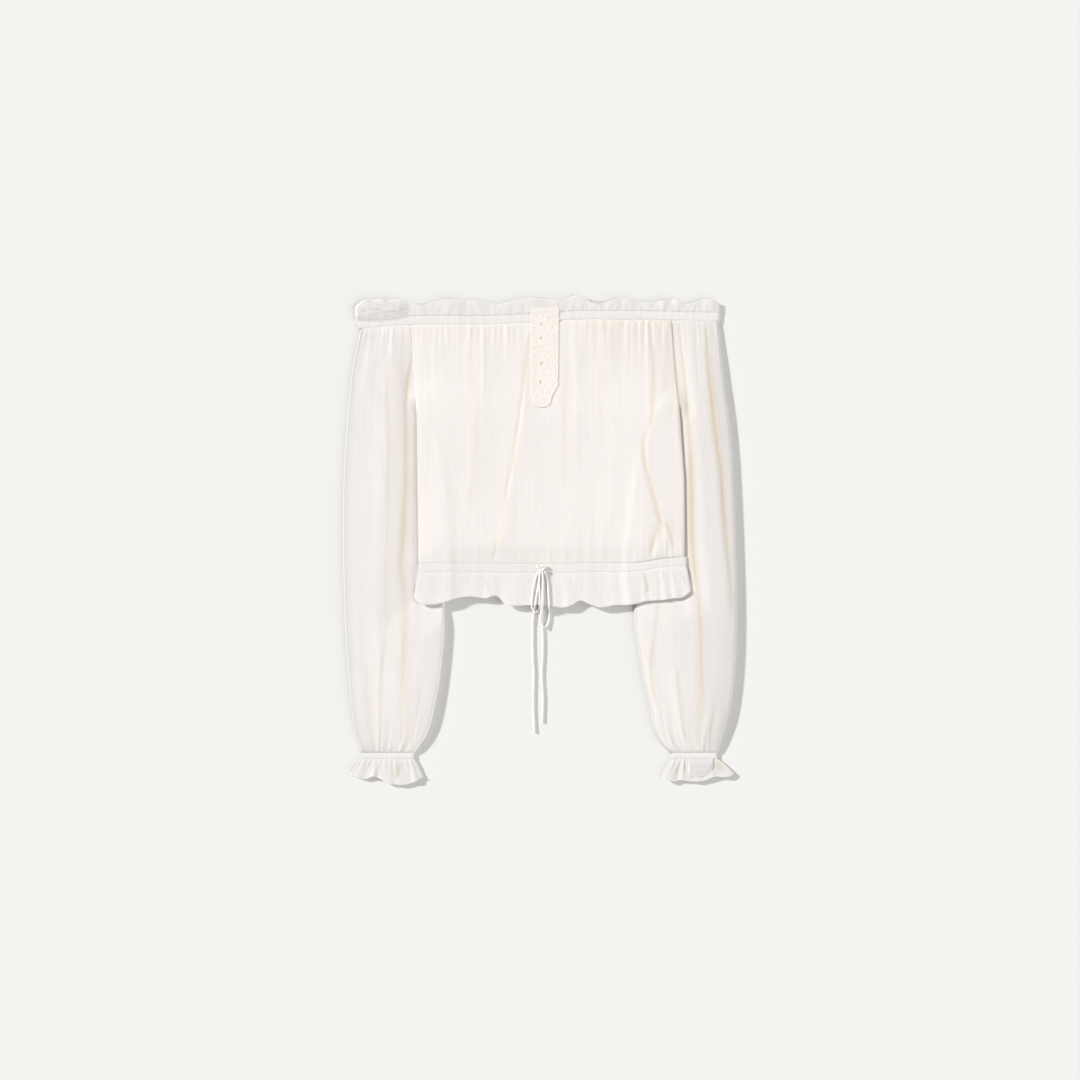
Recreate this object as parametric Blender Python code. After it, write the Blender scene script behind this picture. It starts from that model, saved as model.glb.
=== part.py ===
# Off-shoulder top laid flat with its front up.
# The neckline lies toward +Y, the hem and the cuffs toward -Y, and the front faces +Z.
# Sizes are in millimetres, and the scene is in metres.

import math

import bmesh
import bpy
import numpy as np
from mathutils import Vector
from mathutils.bvhtree import BVHTree

MM = 0.001

# Cloth walls and the gaps between them
WALL = 1.3
SEAM = 0.3
LAYER = 0.4
SEAM_PUFF = 0.3
RUCHE = 0.7
FOLD_EDGE = 1.4

# Stations along Y
UNDERARM_Y = 160.0
CASING_HEIGHT = 10.0
CUFF_CASING_TOP = -262.0
CUFF_CASING_BOTTOM = -268.0

# Sections of a sleeve, closer at its two seams and at the underarm
SLEEVE_STATIONS = (
    270, 264, 252, 232, 205, 180, 163, 148, 133, 118, 95, 60, 20, -20, -58, -86, -102, -130, -165, -197,
    -222, -241, -253, -262,
)

# Height that a sleeve has where the body lies on it, and its rise beside that
UNDER_BODY = 4.0
UNDER_MARGIN = 7.0
UNDER_SLOPE = 0.16
ARMHOLE_REACH = 15.0
ARMHOLE_SLOPE = 0.35
LIFT = UNDER_BODY + 0.5
LIFT_SLOPE = 24.0
LIFT_MARGIN = 7.0
LIFT_AHEAD = 38.0
HEM_TIP_Y = -88.0

# Outline of the body: y, x
LEFT_SIDE = ((-31, -150.5), (150, -152.5), (275, -160))
RIGHT_SIDE = ((-31, 179), (27, 179), (77, 178.6), (150, 173.6), (275, 162.2))

# Centre line of each casing: x, y
NECK_LINE = (
    (-226, 270), (-160, 274.5), (-60, 275), (0, 278), (40, 280.8), (110, 281), (222, 279),
)
HEM_LINE = (
    (-150, -32), (60, -32), (124, -30.5), (150, -26), (181, -24),
)

# Outline of the sleeves: y, x
SLEEVE_LEFT_OUTER = (
    (273, -220), (238, -228), (213, -233), (176, -236.8), (114, -241.8), (52, -244), (-22, -244),
    (-97, -241.8), (-134, -240), (-171, -237), (-208, -233.5), (-233, -229.5), (-250, -224), (-262, -221),
)
SLEEVE_LEFT_INNER = (
    (120, -146), (52, -129), (-47, -120), (-104, -118.5), (-146, -121.5), (-196, -129), (-239, -141),
    (-262, -156),
)
SLEEVE_RIGHT_OUTER = (
    (273, 220.5), (201, 228), (139, 235.6), (52, 240.6), (-22, 243), (-84, 244), (-134, 243),
    (-183, 239), (-221, 232), (-250, 223), (-262, 219.5),
)
SLEEVE_RIGHT_INNER = (
    (120, 152), (52, 131), (-47, 119.5), (-97, 116.8), (-134, 121.5), (-171, 127.7), (-208, 136.4),
    (-233, 141), (-250, 150), (-262, 162.4),
)

# Gathers: x, gathers counted from the left end
NECK_GATHERS = (
    (-226, 0), (-160, 6), (-13, 16), (25, 18), (75, 22), (162, 31), (222, 38),
)
HEM_GATHERS = (
    (-150, 0), (-60, 5), (30, 10), (120, 16), (150, 20), (181, 25),
)
# Depth of the gathers a little way from the casing: x, depth
NECK_DEPTH = (
    (-226, 1.8), (-160, 1.3), (-100, 1.1), (-30, 1.2), (-12, 0.2), (24, 0.2), (45, 1.4), (100, 1.8),
    (160, 2.0), (222, 1.8),
)
HEM_DEPTH = (
    (-150, 0.8), (-60, 0.9), (30, 0.9), (110, 1.3), (150, 2.2), (181, 2.4),
)

# Soft height of the front over the back along Y: y, height
FRONT_PUFF = (
    (275, 0.1), (240, 0.9), (150, 1.2), (60, 1.6), (15, 3.0), (-5, 3.3), (-17, 1.6), (-27, 0.2),
)

# Folds of the front: height, width to its left, width to its right, y where it starts and ends,
# then its route as y, x
FRONT_FOLDS = (
    (2.6, 3.5, 17, 282, -20, ((273, -13), (230, -14), (152, -22), (88, -33), (32, -44), (-19, -55))),
    (1.3, 6, 12, 272, 40, ((262, -85), (203, -76), (126, -81), (97, -81), (52, -88))),
    (1.5, 9, 9, 262, 110, ((238, 43), (191, 47), (139, 45))),
    (1.1, 6, 9, 270, 180, ((262, 80), (190, 76))),
    (1.3, 14, 18, 190, 5, ((180, 84), (100, 92), (20, 88))),
    (1.2, 12, 18, 220, -10, ((210, -124), (100, -118), (0, -122))),
    (3.0, 4, 15, 280, -15,
     ((262, 139), (216, 141), (156, 139), (126, 134), (95, 135), (52, 147), (14, 158), (-12, 166))),
    (-1.4, 5, 6, 30, -25, ((22, 146), (0, 143), (-22, 134))),
)

# Folds of the sleeves, in the same columns
LEFT_SLEEVE_FOLDS = (
    (2.2, 4, 12, 285, -262,
     ((262, -160), (234, -158), (203, -163), (149, -167), (113, -169), (-22, -172), (-105, -171),
      (-186, -170), (-262, -170))),
    (1.5, 12, 7, 200, 20, ((190, -205), (130, -190), (40, -196))),
    (2.0, 10, 5, -70, -262, ((-100, -199), (-198, -198), (-249, -199))),
    (1.6, 7, 6, -190, -262, ((-205, -150), (-231, -153), (-258, -163))),
    (1.4, 8, 8, 268, 170, ((262, -196), (190, -214))),
    (1.4, 7, 9, -150, -262, ((-170, -224), (-230, -216), (-258, -210))),
)
RIGHT_SLEEVE_FOLDS = (
    (2.4, 4, 14, 280, -262,
     ((269, 173), (208, 179), (139, 187), (52, 190), (-41, 193), (-105, 197), (-183, 200), (-246, 202))),
    (2.0, 12, 5, 275, -110,
     ((260, 205), (191, 213), (139, 221), (57, 223), (5, 224), (-38, 230), (-72, 233))),
    (1.8, 8, 5, -115, -235, ((-138, 139), (-180, 143), (-211, 148))),
    (2.0, 9, 5, -140, -262, ((-172, 169), (-213, 175), (-243, 180))),
    (1.4, 5, 8, -190, -262, ((-205, 223), (-235, 218), (-258, 212))),
)
# Soft height of a sleeve along Y: y, height, and how far in from its sides it rounds up
SLEEVE_PUFF = (
    (268, 0.4), (235, 2.8), (120, 5.0), (0, 6.0), (-150, 6.4), (-225, 5.2), (-250, 2.4), (-262, 0.4),
)
SLEEVE_ROUND = 13.0
SLEEVE_GATHERS = 8
SLEEVE_GATHER_DEPTH = 1.6

# Free edges of the frills: x, y
NECK_FRILL_EDGE = (
    (-228, 292), (-221, 298), (-205, 300), (-183, 300), (-160, 296.5), (-149, 293.5), (-124, 299),
    (-75, 298), (-50, 294.5), (-25, 301), (10, 301), (26, 300), (57, 302.5), (61, 299), (104, 301.5),
    (122, 297), (150, 298), (170, 299.5), (181, 295), (205, 300), (216, 299), (223, 295),
)
NECK_FRILL_BACK_EDGE = ((-228, 290), (-150, 296), (-20, 300), (-6, 304), (8, 303), (60, 300), (223, 294))
HEM_FRILL_EDGE = (
    (-156, -69), (-149, -75), (-136, -77), (-119, -74), (-105, -69.5), (-87, -67), (-69, -69),
    (-51, -68), (-45, -75), (-35, -78), (-19, -78), (0, -77), (15, -79), (29, -80.5), (40, -77),
    (50, -72), (60, -76), (74, -80.5), (91, -78), (119, -76), (130, -73), (149, -71.5), (164, -69.5),
    (179, -66.5), (187, -59.5),
)
HEM_FRILL_BACK_EDGE = ((-156, -66), (-60, -66), (40, -74), (120, -71), (187, -57))
LEFT_CUFF_EDGE = (
    (-235, -287), (-228, -290), (-216, -293), (-208, -290), (-198, -293), (-190, -298), (-180, -300),
    (-165, -299.5), (-155, -296), (-145, -290),
)
RIGHT_CUFF_EDGE = (
    (150, -290), (156, -294), (165, -296), (173, -294.5), (182, -295.5), (198, -296), (206, -294),
    (214, -290.5), (227, -290.5), (235, -289.5), (240, -285),
)
# Waves of the frills: x, waves counted from the left end
NECK_FRILL_WAVES = ((-228, 0), (-150, 3.5), (-20, 7), (60, 10), (223, 18))
HEM_FRILL_WAVES = ((-156, 0), (-45, 4), (50, 8), (125, 11), (187, 16))
LEFT_CUFF_WAVES = ((-235, 0), (-145, 5))
RIGHT_CUFF_WAVES = ((150, 0), (240, 5))
# Height of the waves at the free edge: x, height
NECK_FRILL_WAVE = ((-228, 3.6), (-150, 3.0), (-40, 1.6), (20, 1.4), (80, 2.4), (223, 3.0))
HEM_FRILL_WAVE = ((-156, 1.6), (-45, 2.6), (40, 2.2), (125, 2.6), (187, 3.2))
CUFF_WAVE = 3.2

# Lace strip down the centre front
LACE_X = 6.0
LACE_TOP = 290.5
LACE_BOTTOM = 163.5
LACE_HALF_WIDTH = 18.5
LACE_WALL = 1.1
LACE_COLUMNS = 12
LACE_ROWS = 27
LACE_SCALLOP = 0.9
LACE_SCALLOPS = 10
LACE_END = 17.0
# Cut holes: x, y, half width, half height
LACE_HOLES = (
    (2.6, 269.3, 2.6, 2.9), (2.2, 252.0, 2.6, 2.9), (2.8, 235.0, 2.3, 2.5), (2.6, 220.0, 2.6, 2.9),
    (2.3, 204.0, 2.3, 2.5), (3.0, 188.0, 2.6, 3.6),
    (-7.0, 261.0, 2.1, 2.4), (15.0, 261.0, 2.1, 2.4), (17.0, 244.0, 2.1, 3.4), (-6.5, 243.5, 2.1, 2.4),
    (-6.5, 226.0, 2.1, 2.4), (15.0, 227.0, 2.1, 2.4), (-6.0, 208.5, 2.1, 2.4), (14.0, 209.0, 2.1, 2.4),
)

# Hem tie
CORD = 2.4
KNOT = (1.5, -31.5)
KNOT_SIZE = (13.0, 9.0, 7.6)
CORD_STEP = 6.4
# Routes from the knot: x, y
TAIL_LEFT = (
    (-1.6, -50), (-5, -70), (-8.5, -92), (-9.5, -125), (-8, -165), (-8.5, -205), (-7, -235.5),
)
TAIL_RIGHT = (
    (4.4, -52), (3.5, -72), (2.5, -95), (3.5, -130), (2, -165), (3.5, -195), (2.5, -223),
)
LOOP_SHORT = (
    (-5.8, -46), (-9.2, -62), (-10.4, -76), (-9.6, -82.5), (-5.6, -86.4), (-1.7, -83.5), (-0.6, -77),
    (-0.6, -62), (-0.9, -46),
)
LOOP_LONG = (
    (8.4, -46), (10.4, -66), (11, -86), (10.4, -99), (8.3, -103.6), (5.4, -105.2), (2.6, -103.4),
    (0.8, -99), (1.6, -84), (2.9, -62), (3.2, -46),
)

# Finish: colour, roughness
CHIFFON = ((0.91, 0.85, 0.77), 0.82)
FRILL_CLOTH = ((0.86, 0.80, 0.73), 0.85)
BAND_CLOTH = ((0.88, 0.82, 0.77), 0.8)
LACE_CLOTH = ((0.92, 0.86, 0.74), 0.75)
CORD_CLOTH = ((0.94, 0.92, 0.89), 0.7)


# Curves read from the tables

def curve(rows, at):
    """Smooth curve through rows of (place, value), held level past its two ends."""
    rows = np.array(sorted(rows, key=lambda row: row[0]), float)
    place = rows[:, 0]
    value = rows[:, 1]
    slope = np.gradient(value, place)
    at = np.clip(at, place[0], place[-1])
    k = np.clip(np.searchsorted(place, at, side="right") - 1, 0, len(place) - 2)
    span = place[k + 1] - place[k]
    u = (at - place[k]) / span
    start = (2 * u**3 - 3 * u**2 + 1) * value[k] + (u**3 - 2 * u**2 + u) * span * slope[k]
    end = (3 * u**2 - 2 * u**3) * value[k + 1] + (u**3 - u**2) * span * slope[k + 1]
    return start + end


def line(rows, at):
    """Straight runs through rows of (place, value)."""
    rows = np.array(rows, float)
    return np.interp(at, rows[:, 0], rows[:, 1])


def place_of(rows, value):
    """Where the straight runs of a rising table reach a value."""
    rows = np.array(rows, float)
    return np.interp(value, rows[:, 1], rows[:, 0])


def ramp(start, end, at):
    """Goes smoothly from 0 at start to 1 at end."""
    u = np.clip((at - start) / (end - start), 0, 1)
    return u * u * (3 - 2 * u)


# Outline of the body and of the sleeves

def body_left(y):
    return line(LEFT_SIDE, y)


def body_right(y):
    return line(RIGHT_SIDE, y)


def sleeve_inner(side, y):
    """Inner edge of a sleeve: along the body's side to the underarm, then in under the body."""
    if side < 0:
        seam = body_left(y) - SEAM
        free = curve(SLEEVE_LEFT_INNER, y)
    else:
        seam = body_right(y) + SEAM
        free = curve(SLEEVE_RIGHT_INNER, y)
    return seam + (free - seam) * ramp(UNDERARM_Y, UNDERARM_Y - 45, y)


def sleeve_outer(side, y):
    return curve(SLEEVE_LEFT_OUTER if side < 0 else SLEEVE_RIGHT_OUTER, y)


def neck_seam(x):
    """Top edge of the body and of the sleeves, just below the neck casing."""
    return curve(NECK_LINE, x) - CASING_HEIGHT / 2 - SEAM


def hem_seam(x):
    """Bottom edge of the body, just above the hem casing."""
    return curve(HEM_LINE, x) + CASING_HEIGHT / 2 + SEAM


# Heights

def lift(x, y):
    """Underside of the body: on the floor in the middle, and raised where it lies on a sleeve."""
    left = sleeve_inner(-1, y - LIFT_AHEAD) + LIFT_MARGIN
    right = sleeve_inner(1, y - LIFT_AHEAD) - LIFT_MARGIN
    over = np.maximum(ramp(left + LIFT_SLOPE, left, x), ramp(right - LIFT_SLOPE, right, x))
    return LIFT * over * ramp(UNDERARM_Y + 42, UNDERARM_Y + 4, y) * ramp(HEM_TIP_Y - 20, HEM_TIP_Y, y)


def seam_top(x, y, ruche):
    """Top of the upper layer at a casing, where ruche goes from 0 in a dip to 1 on a gather."""
    return lift(x, y) + 2 * WALL + LAYER + SEAM_PUFF + RUCHE * ruche


def fold_height(folds, x, y):
    """Sum of the folds: each is a bell across its route, with its own width on either side."""
    total = np.zeros_like(x)
    for height, left, right, start, end, route in folds:
        off = x - curve(route, y)
        across = np.exp(-(off / np.where(off < 0, left, right)) ** 2)
        fade = ramp(start, start - 28, y) * ramp(end, end + 28, y)
        total = total + height * across * fade
    return total


def gather(turn, depth, reach, from_seam):
    """Height of gathers: low at the seam, full a little way off, and gone at their own reach."""
    own = reach * (0.62 + 0.38 * np.sin(2.1 * np.floor(turn + 0.5) + 0.7))
    fade = ramp(own, own * 0.25, from_seam)
    wave = 0.5 + 0.5 * np.cos(2 * math.pi * turn)
    height = RUCHE + (depth - RUCHE) * ramp(0, 14, from_seam)
    return height * wave * fade


def waves(turn):
    """Goes from 0 in a trough to 1 on a crest."""
    return 0.5 - 0.5 * np.cos(2 * math.pi * turn)


# Solids

def material(name, finish):
    made = bpy.data.materials.new(name)
    made.use_nodes = True
    shader = made.node_tree.nodes["Principled BSDF"]
    shader.inputs["Base Color"].default_value = (*finish[0], 1)
    shader.inputs["Roughness"].default_value = finish[1]
    shader.inputs["Metallic"].default_value = 0
    return made


def solid(name, points, faces, finish):
    """Makes one closed mesh, in metres, with its faces outward."""
    mesh = bpy.data.meshes.new(name)
    mesh.from_pydata((np.asarray(points) * MM).tolist(), [], faces)
    work = bmesh.new()
    work.from_mesh(mesh)
    loose = [vert for vert in work.verts if not vert.link_faces]
    bmesh.ops.delete(work, geom=loose, context="VERTS")
    bmesh.ops.recalc_face_normals(work, faces=work.faces)
    work.to_mesh(mesh)
    work.free()
    mesh.materials.append(finish)
    made = bpy.data.objects.new(name, mesh)
    bpy.context.scene.collection.objects.link(made)
    return made


def slab(name, x, y, low, high, finish, cells=None):
    """Wall between two heights over one grid; cells says which of the grid's cells are cloth."""
    columns, rows = x.shape
    if cells is None:
        cells = np.ones((columns - 1, rows - 1), bool)
    points = np.concatenate([
        np.stack([x, y, low], -1).reshape(-1, 3),
        np.stack([x, y, high], -1).reshape(-1, 3),
    ])
    upper = columns * rows
    faces = []
    for i, j in np.argwhere(cells):
        a = int(i * rows + j)
        b, c, d = a + rows, a + rows + 1, a + 1
        faces.append((a, d, c, b))
        faces.append((a + upper, b + upper, c + upper, d + upper))
        beside = (
            (j == 0 or not cells[i, j - 1], a, b),
            (i == columns - 2 or not cells[i + 1, j], b, c),
            (j == rows - 2 or not cells[i, j + 1], c, d),
            (i == 0 or not cells[i - 1, j], d, a),
        )
        for open_side, start, end in beside:
            if open_side:
                faces.append((start, end, end + upper, start + upper))
    return solid(name, points, faces, finish)


def ring(name, front, back, left, right, finish):
    """Flattened tube. front and back are the outer points of its two layers, one row a section;
    left and right are the places of its two folded edges. The inner wall lies WALL inside."""
    def section(front_points, back_points, inward):
        front_points = front_points.copy()
        back_points = back_points.copy()
        middle = []
        for at, edge, sign in ((0, left, 1), (-1, right, -1)):
            point = (front_points[:, at] + back_points[:, at]) / 2
            point[:, 0] = edge + sign * inward
            middle.append(point)
            front_points[:, at, 0] += sign * inward * 0.35
            back_points[:, at, 0] += sign * inward * 0.35
        front_points[:, :, 2] -= inward
        back_points[:, :, 2] += inward
        return np.concatenate([
            middle[0][:, None], front_points, middle[1][:, None], back_points[:, ::-1],
        ], axis=1)

    outer = section(front, back, 0)
    inner = section(front, back, WALL)
    rows, around = outer.shape[:2]
    points = np.concatenate([outer.reshape(-1, 3), inner.reshape(-1, 3)])
    inside = rows * around
    faces = []
    for i in range(around):
        after = (i + 1) % around
        for j in range(rows - 1):
            a, b = j * around + i, j * around + after
            faces.append((a, b, b + around, a + around))
            faces.append((a + inside, a + around + inside, b + around + inside, b + inside))
        first, last = (rows - 1) * around + i, (rows - 1) * around + after
        faces.append((i, i + inside, after + inside, after))
        faces.append((first, last, last + inside, first + inside))
    return solid(name, points, faces, finish)


def inset_columns(turns, table, left, right):
    """X of a ring's columns, from gather to gather, drawn in a little from its folded edges."""
    x = place_of(table, turns)
    x[0] = left + FOLD_EDGE
    x[-1] = right - FOLD_EDGE
    return x


def tree_of(obj):
    points = [vert.co.copy() for vert in obj.data.vertices]
    faces = [tuple(face.vertices) for face in obj.data.polygons]
    return BVHTree.FromPolygons(points, faces)


def top_under(trees, x, y, reach):
    """Highest point of the pieces within reach of a place, in millimetres; the floor is 0."""
    best = 0.0
    offsets = np.linspace(-reach, reach, 5)
    for across in offsets:
        for along in offsets:
            above = Vector(((x + across) * MM, (y + along) * MM, 0.1))
            for tree in trees:
                hit = tree.ray_cast(above, Vector((0, 0, -1)))[0]
                if hit is not None:
                    best = max(best, hit.z / MM)
    return best


# Body panels

def body_grid():
    """Columns run from gather to gather, and rows from the neck seam to the hem seam."""
    turns = np.arange(0, 25.01, 0.5)
    down = np.array([0, 0.02, 0.05, 0.1, 0.17, 0.26, 0.36, 0.47, 0.58, 0.69, 0.79, 0.87, 0.93, 0.97, 1])
    neck_x = place_of(NECK_GATHERS, turns + 6)
    hem_x = place_of(HEM_GATHERS, turns)
    neck_share = (neck_x - body_left(270)) / (body_right(270) - body_left(270))
    hem_share = (hem_x - body_left(-27)) / (body_right(-27) - body_left(-27))
    neck_share = (neck_share - neck_share[0]) / (neck_share[-1] - neck_share[0])
    hem_share = (hem_share - hem_share[0]) / (hem_share[-1] - hem_share[0])
    blend = ramp(0, 1, down)[None, :]
    share = neck_share[:, None] * (1 - blend) + hem_share[:, None] * blend
    y = 272 + (-27 - 272) * down[None, :] + 0 * share
    for _ in range(3):
        x = body_left(y) + share * (body_right(y) - body_left(y))
        y = neck_seam(x) + (hem_seam(x) - neck_seam(x)) * down[None, :]
    return np.broadcast_to(turns[:, None], x.shape), share, x, y


def front_relief(turn, share, x, y):
    """How far the front's underside lies above the back, beyond the gap between them."""
    from_neck = neck_seam(x) - y
    from_hem = y - hem_seam(x)
    at_seam = ramp(0, 14, np.minimum(from_neck, from_hem))
    edge = 1 - (2 * share - 1) ** 6
    puff = curve(FRONT_PUFF, y) * edge
    lace = np.exp(-(((x - LACE_X) / (LACE_HALF_WIDTH + 4)) ** 6)) * ramp(LACE_BOTTOM - 25, LACE_BOTTOM, y)
    folds = fold_height(FRONT_FOLDS, x, y) * edge * at_seam
    neck = gather(turn + 6, curve(NECK_DEPTH, x), 95, from_neck)
    hem = gather(turn, curve(HEM_DEPTH, x), 55, from_hem)
    gathers = neck * (1 - 0.6 * lace) + hem
    return np.maximum(0.05, SEAM_PUFF + puff + gathers + folds * (1 - lace))


def back_gathers(turn, x, y):
    """Shallow pleats in the underside, beside the two casings only, so that the middle lies flat."""
    from_neck = neck_seam(x) - y
    from_hem = y - hem_seam(x)
    wave = 0.5 + 0.5 * np.cos(math.pi * turn)
    neck = ramp(34, 14, from_neck) * ramp(0, 9, from_neck)
    hem = ramp(28, 12, from_hem) * ramp(0, 8, from_hem)
    return 0.7 * wave * (neck + hem)


def refine(coarse):
    """Doubles a grid's cells both ways, with straight steps between its points."""
    columns, rows = coarse.shape
    wide = np.empty((2 * columns - 1, rows))
    wide[::2] = coarse
    wide[1::2] = (coarse[:-1] + coarse[1:]) / 2
    fine = np.empty((2 * columns - 1, 2 * rows - 1))
    fine[:, ::2] = wide
    fine[:, 1::2] = (wide[:, :-1] + wide[:, 1:]) / 2
    return fine


def make_body(finish):
    turn, share, x, y = body_grid()
    coarse = (slice(None, None, 2), slice(None, None, 2))
    back_low = lift(x[coarse], y[coarse]) + back_gathers(turn[coarse], x[coarse], y[coarse])
    slab("back", x[coarse], y[coarse], back_low, back_low + WALL, finish)
    low = refine(back_low) + WALL + LAYER + front_relief(turn, share, x, y)
    return slab("front", x, y, low, low + WALL, finish)


# Sleeves

def make_sleeve(side, finish):
    name = "sleeve_left" if side < 0 else "sleeve_right"
    folds = LEFT_SLEEVE_FOLDS if side < 0 else RIGHT_SLEEVE_FOLDS
    first, last = SLEEVE_STATIONS[0], SLEEVE_STATIONS[-1]
    down = ((np.array(SLEEVE_STATIONS) - first) / (last - first))[:, None]

    def layer(share):
        """Outer points of one layer: share goes from 0 at the left edge to 1 at the right one."""
        y = 268 + (CUFF_CASING_TOP + SEAM - 268) * down + 0 * share[None, :]
        for _ in range(3):
            inner = sleeve_inner(side, y)
            outer = sleeve_outer(side, y)
            left = np.minimum(inner, outer)
            right = np.maximum(inner, outer)
            x = left + FOLD_EDGE + share[None, :] * (right - left - 2 * FOLD_EDGE)
            top = neck_seam(x)
            y = top + (CUFF_CASING_TOP + SEAM - top) * down
        return x, y, left[:, 0], right[:, -1]

    share = np.linspace(0, 1, 2 * SLEEVE_GATHERS + 1)
    x, y, left, right = layer(share)
    turn = share[None, :] * SLEEVE_GATHERS + 0 * y
    from_neck = neck_seam(x) - y
    from_cuff = y - CUFF_CASING_TOP
    at_seam = ramp(0, 16, np.minimum(from_neck, from_cuff))
    from_side = np.minimum(x - left[:, None], right[:, None] - x)
    dome = np.sqrt(1 - np.clip(1 - from_side / SLEEVE_ROUND, 0, 1) ** 2)
    height = 2 * WALL + LAYER + SEAM_PUFF + curve(SLEEVE_PUFF, y) * dome
    height += gather(turn, SLEEVE_GATHER_DEPTH, 70, from_neck) + gather(turn, SLEEVE_GATHER_DEPTH, 75, from_cuff)
    height += fold_height(folds, x, y) * at_seam * dome
    height = np.minimum(height, free_height(side, x, y))
    front = np.stack([x, y, height], -1)

    share = np.linspace(0, 1, SLEEVE_GATHERS // 2 + 1)
    x, y, left, right = layer(share)
    groove = 0.6 * (0.5 - 0.5 * np.cos(2 * math.pi * share[None, :] * 2))
    groove = groove * (ramp(40, 8, neck_seam(x) - y) + ramp(45, 8, y - CUFF_CASING_TOP))
    back = np.stack([x, y, groove], -1)
    return ring(name, front, back, left, right, finish)


def free_height(side, x, y):
    """Height which a sleeve may have: UNDER_BODY where the body lies on it, and more farther from there."""
    edge = body_left(y) if side < 0 else body_right(y)
    outside = (x - edge) * side - UNDER_MARGIN * (1 + ramp(-22, -38, y))
    below = HEM_TIP_Y - y
    above = ARMHOLE_SLOPE * (y - UNDERARM_Y - ARMHOLE_REACH)
    away = np.maximum(np.maximum(outside, below), above)
    return UNDER_BODY + UNDER_SLOPE * np.clip(away, 0, None)


# Casings and frills

def make_casing(name, table, centre, left, right, across, finish, every=3):
    """Elastic or drawstring channel: a low ring with a ruche for each gather.
    across holds the distances of its rows from its centre line."""
    count = table[-1][1]
    middle = 0.35 * np.array([1 - abs(2 * k / (len(across) - 1) - 1) for k in range(len(across))])
    offset = np.array(across)[:, None]

    def layer(turns):
        x = np.broadcast_to(inset_columns(turns, table, left, right), (len(across), len(turns)))
        return x, centre(x) + offset

    turns = np.arange(0, count + 0.01, 0.5)
    x, y = layer(turns)
    ruche = 0.5 + 0.5 * np.cos(2 * math.pi * turns)[None, :]
    front = np.stack([x, y, seam_top(x, y, ruche) + middle[:, None]], -1)
    x, y = layer(np.linspace(0, count, len(turns) // every + 1))
    back = np.stack([x, y, lift(x, y)], -1)
    return ring(name, front, back, left, right, finish)


def make_frill(name, base, edge, back_edge, base_sides, table, wave_height, finish):
    """Frill from a casing's edge to its own free edge, with waves that grow toward the edge."""
    down = np.array([0, 0.3, 0.65, 1])[:, None]
    left = base_sides[0] + (edge[0][0] - base_sides[0]) * down
    right = base_sides[1] + (edge[-1][0] - base_sides[1]) * down
    span = edge[-1][0] - edge[0][0] - 2 * FOLD_EDGE
    count = table[-1][1]

    def layer(turns, rim):
        share = (place_of(table, turns) - edge[0][0]) / (edge[-1][0] - edge[0][0])
        x = left + FOLD_EDGE + share[None, :] * (right - left - 2 * FOLD_EDGE)
        at_rim = edge[0][0] + FOLD_EDGE + share[None, :] * span
        return x, base(x) + (curve(rim, at_rim) - base(x)) * down

    turns = np.arange(0, count + 0.01, 0.25)
    x, y = layer(turns, edge)
    rise = waves(turns)[None, :] * curve(wave_height, x) * down ** 0.8
    under = 0.4 * (0.5 - 0.5 * np.cos(math.pi * turns))[None, :] * down
    front = np.stack([x, y, seam_top(x, y, 0.5 * (1 - down)) + under + rise], -1)
    turns = np.arange(0, count + 0.01, 1)
    x, y = layer(turns, back_edge)
    under = 0.4 * (0.5 - 0.5 * np.cos(math.pi * turns))[None, :] * down
    back = np.stack([x, y, lift(x, y) + under], -1)
    return ring(name, front, back, left[:, 0], right[:, 0], finish)


def make_neck(band, frill):
    half = CASING_HEIGHT / 2
    left, right = NECK_LINE[0][0], NECK_LINE[-1][0]

    def centre(x):
        return curve(NECK_LINE, x)

    def base(x):
        return curve(NECK_LINE, x) + half + SEAM

    casing = make_casing("neck_casing", NECK_GATHERS, centre, left, right, (half, -half), band)
    top = make_frill("neck_frill", base, NECK_FRILL_EDGE, NECK_FRILL_BACK_EDGE, (left, right),
                     NECK_FRILL_WAVES, NECK_FRILL_WAVE, frill)
    return casing, top


def make_hem(band, frill):
    half = CASING_HEIGHT / 2
    left, right = HEM_LINE[0][0], HEM_LINE[-1][0]

    def centre(x):
        return curve(HEM_LINE, x)

    def base(x):
        return curve(HEM_LINE, x) - half - SEAM

    casing = make_casing("hem_casing", HEM_GATHERS, centre, left, right, (half, 0, -half), band, every=2)
    skirt = make_frill("hem_frill", base, HEM_FRILL_EDGE, HEM_FRILL_BACK_EDGE, (left, right),
                       HEM_FRILL_WAVES, HEM_FRILL_WAVE, frill)
    return casing, skirt


def make_cuff(side, band, frill):
    name = "left" if side < 0 else "right"
    edge = LEFT_CUFF_EDGE if side < 0 else RIGHT_CUFF_EDGE
    table = LEFT_CUFF_WAVES if side < 0 else RIGHT_CUFF_WAVES
    ends = sorted((float(sleeve_inner(side, CUFF_CASING_TOP)), float(sleeve_outer(side, CUFF_CASING_TOP))))
    middle = (CUFF_CASING_TOP + CUFF_CASING_BOTTOM) / 2
    half = (CUFF_CASING_TOP - CUFF_CASING_BOTTOM) / 2

    def centre(x):
        return middle + 0 * x

    def base(x):
        return middle - half - SEAM + 0 * x

    gathers = ((ends[0], 0), (ends[1], SLEEVE_GATHERS))
    height = ((edge[0][0], CUFF_WAVE), (edge[-1][0], CUFF_WAVE))
    make_casing(f"cuff_casing_{name}", gathers, centre, ends[0], ends[1], (half, -half), band)
    make_frill(f"cuff_frill_{name}", base, edge, edge, ends, table, height, frill)


# Lace

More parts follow.
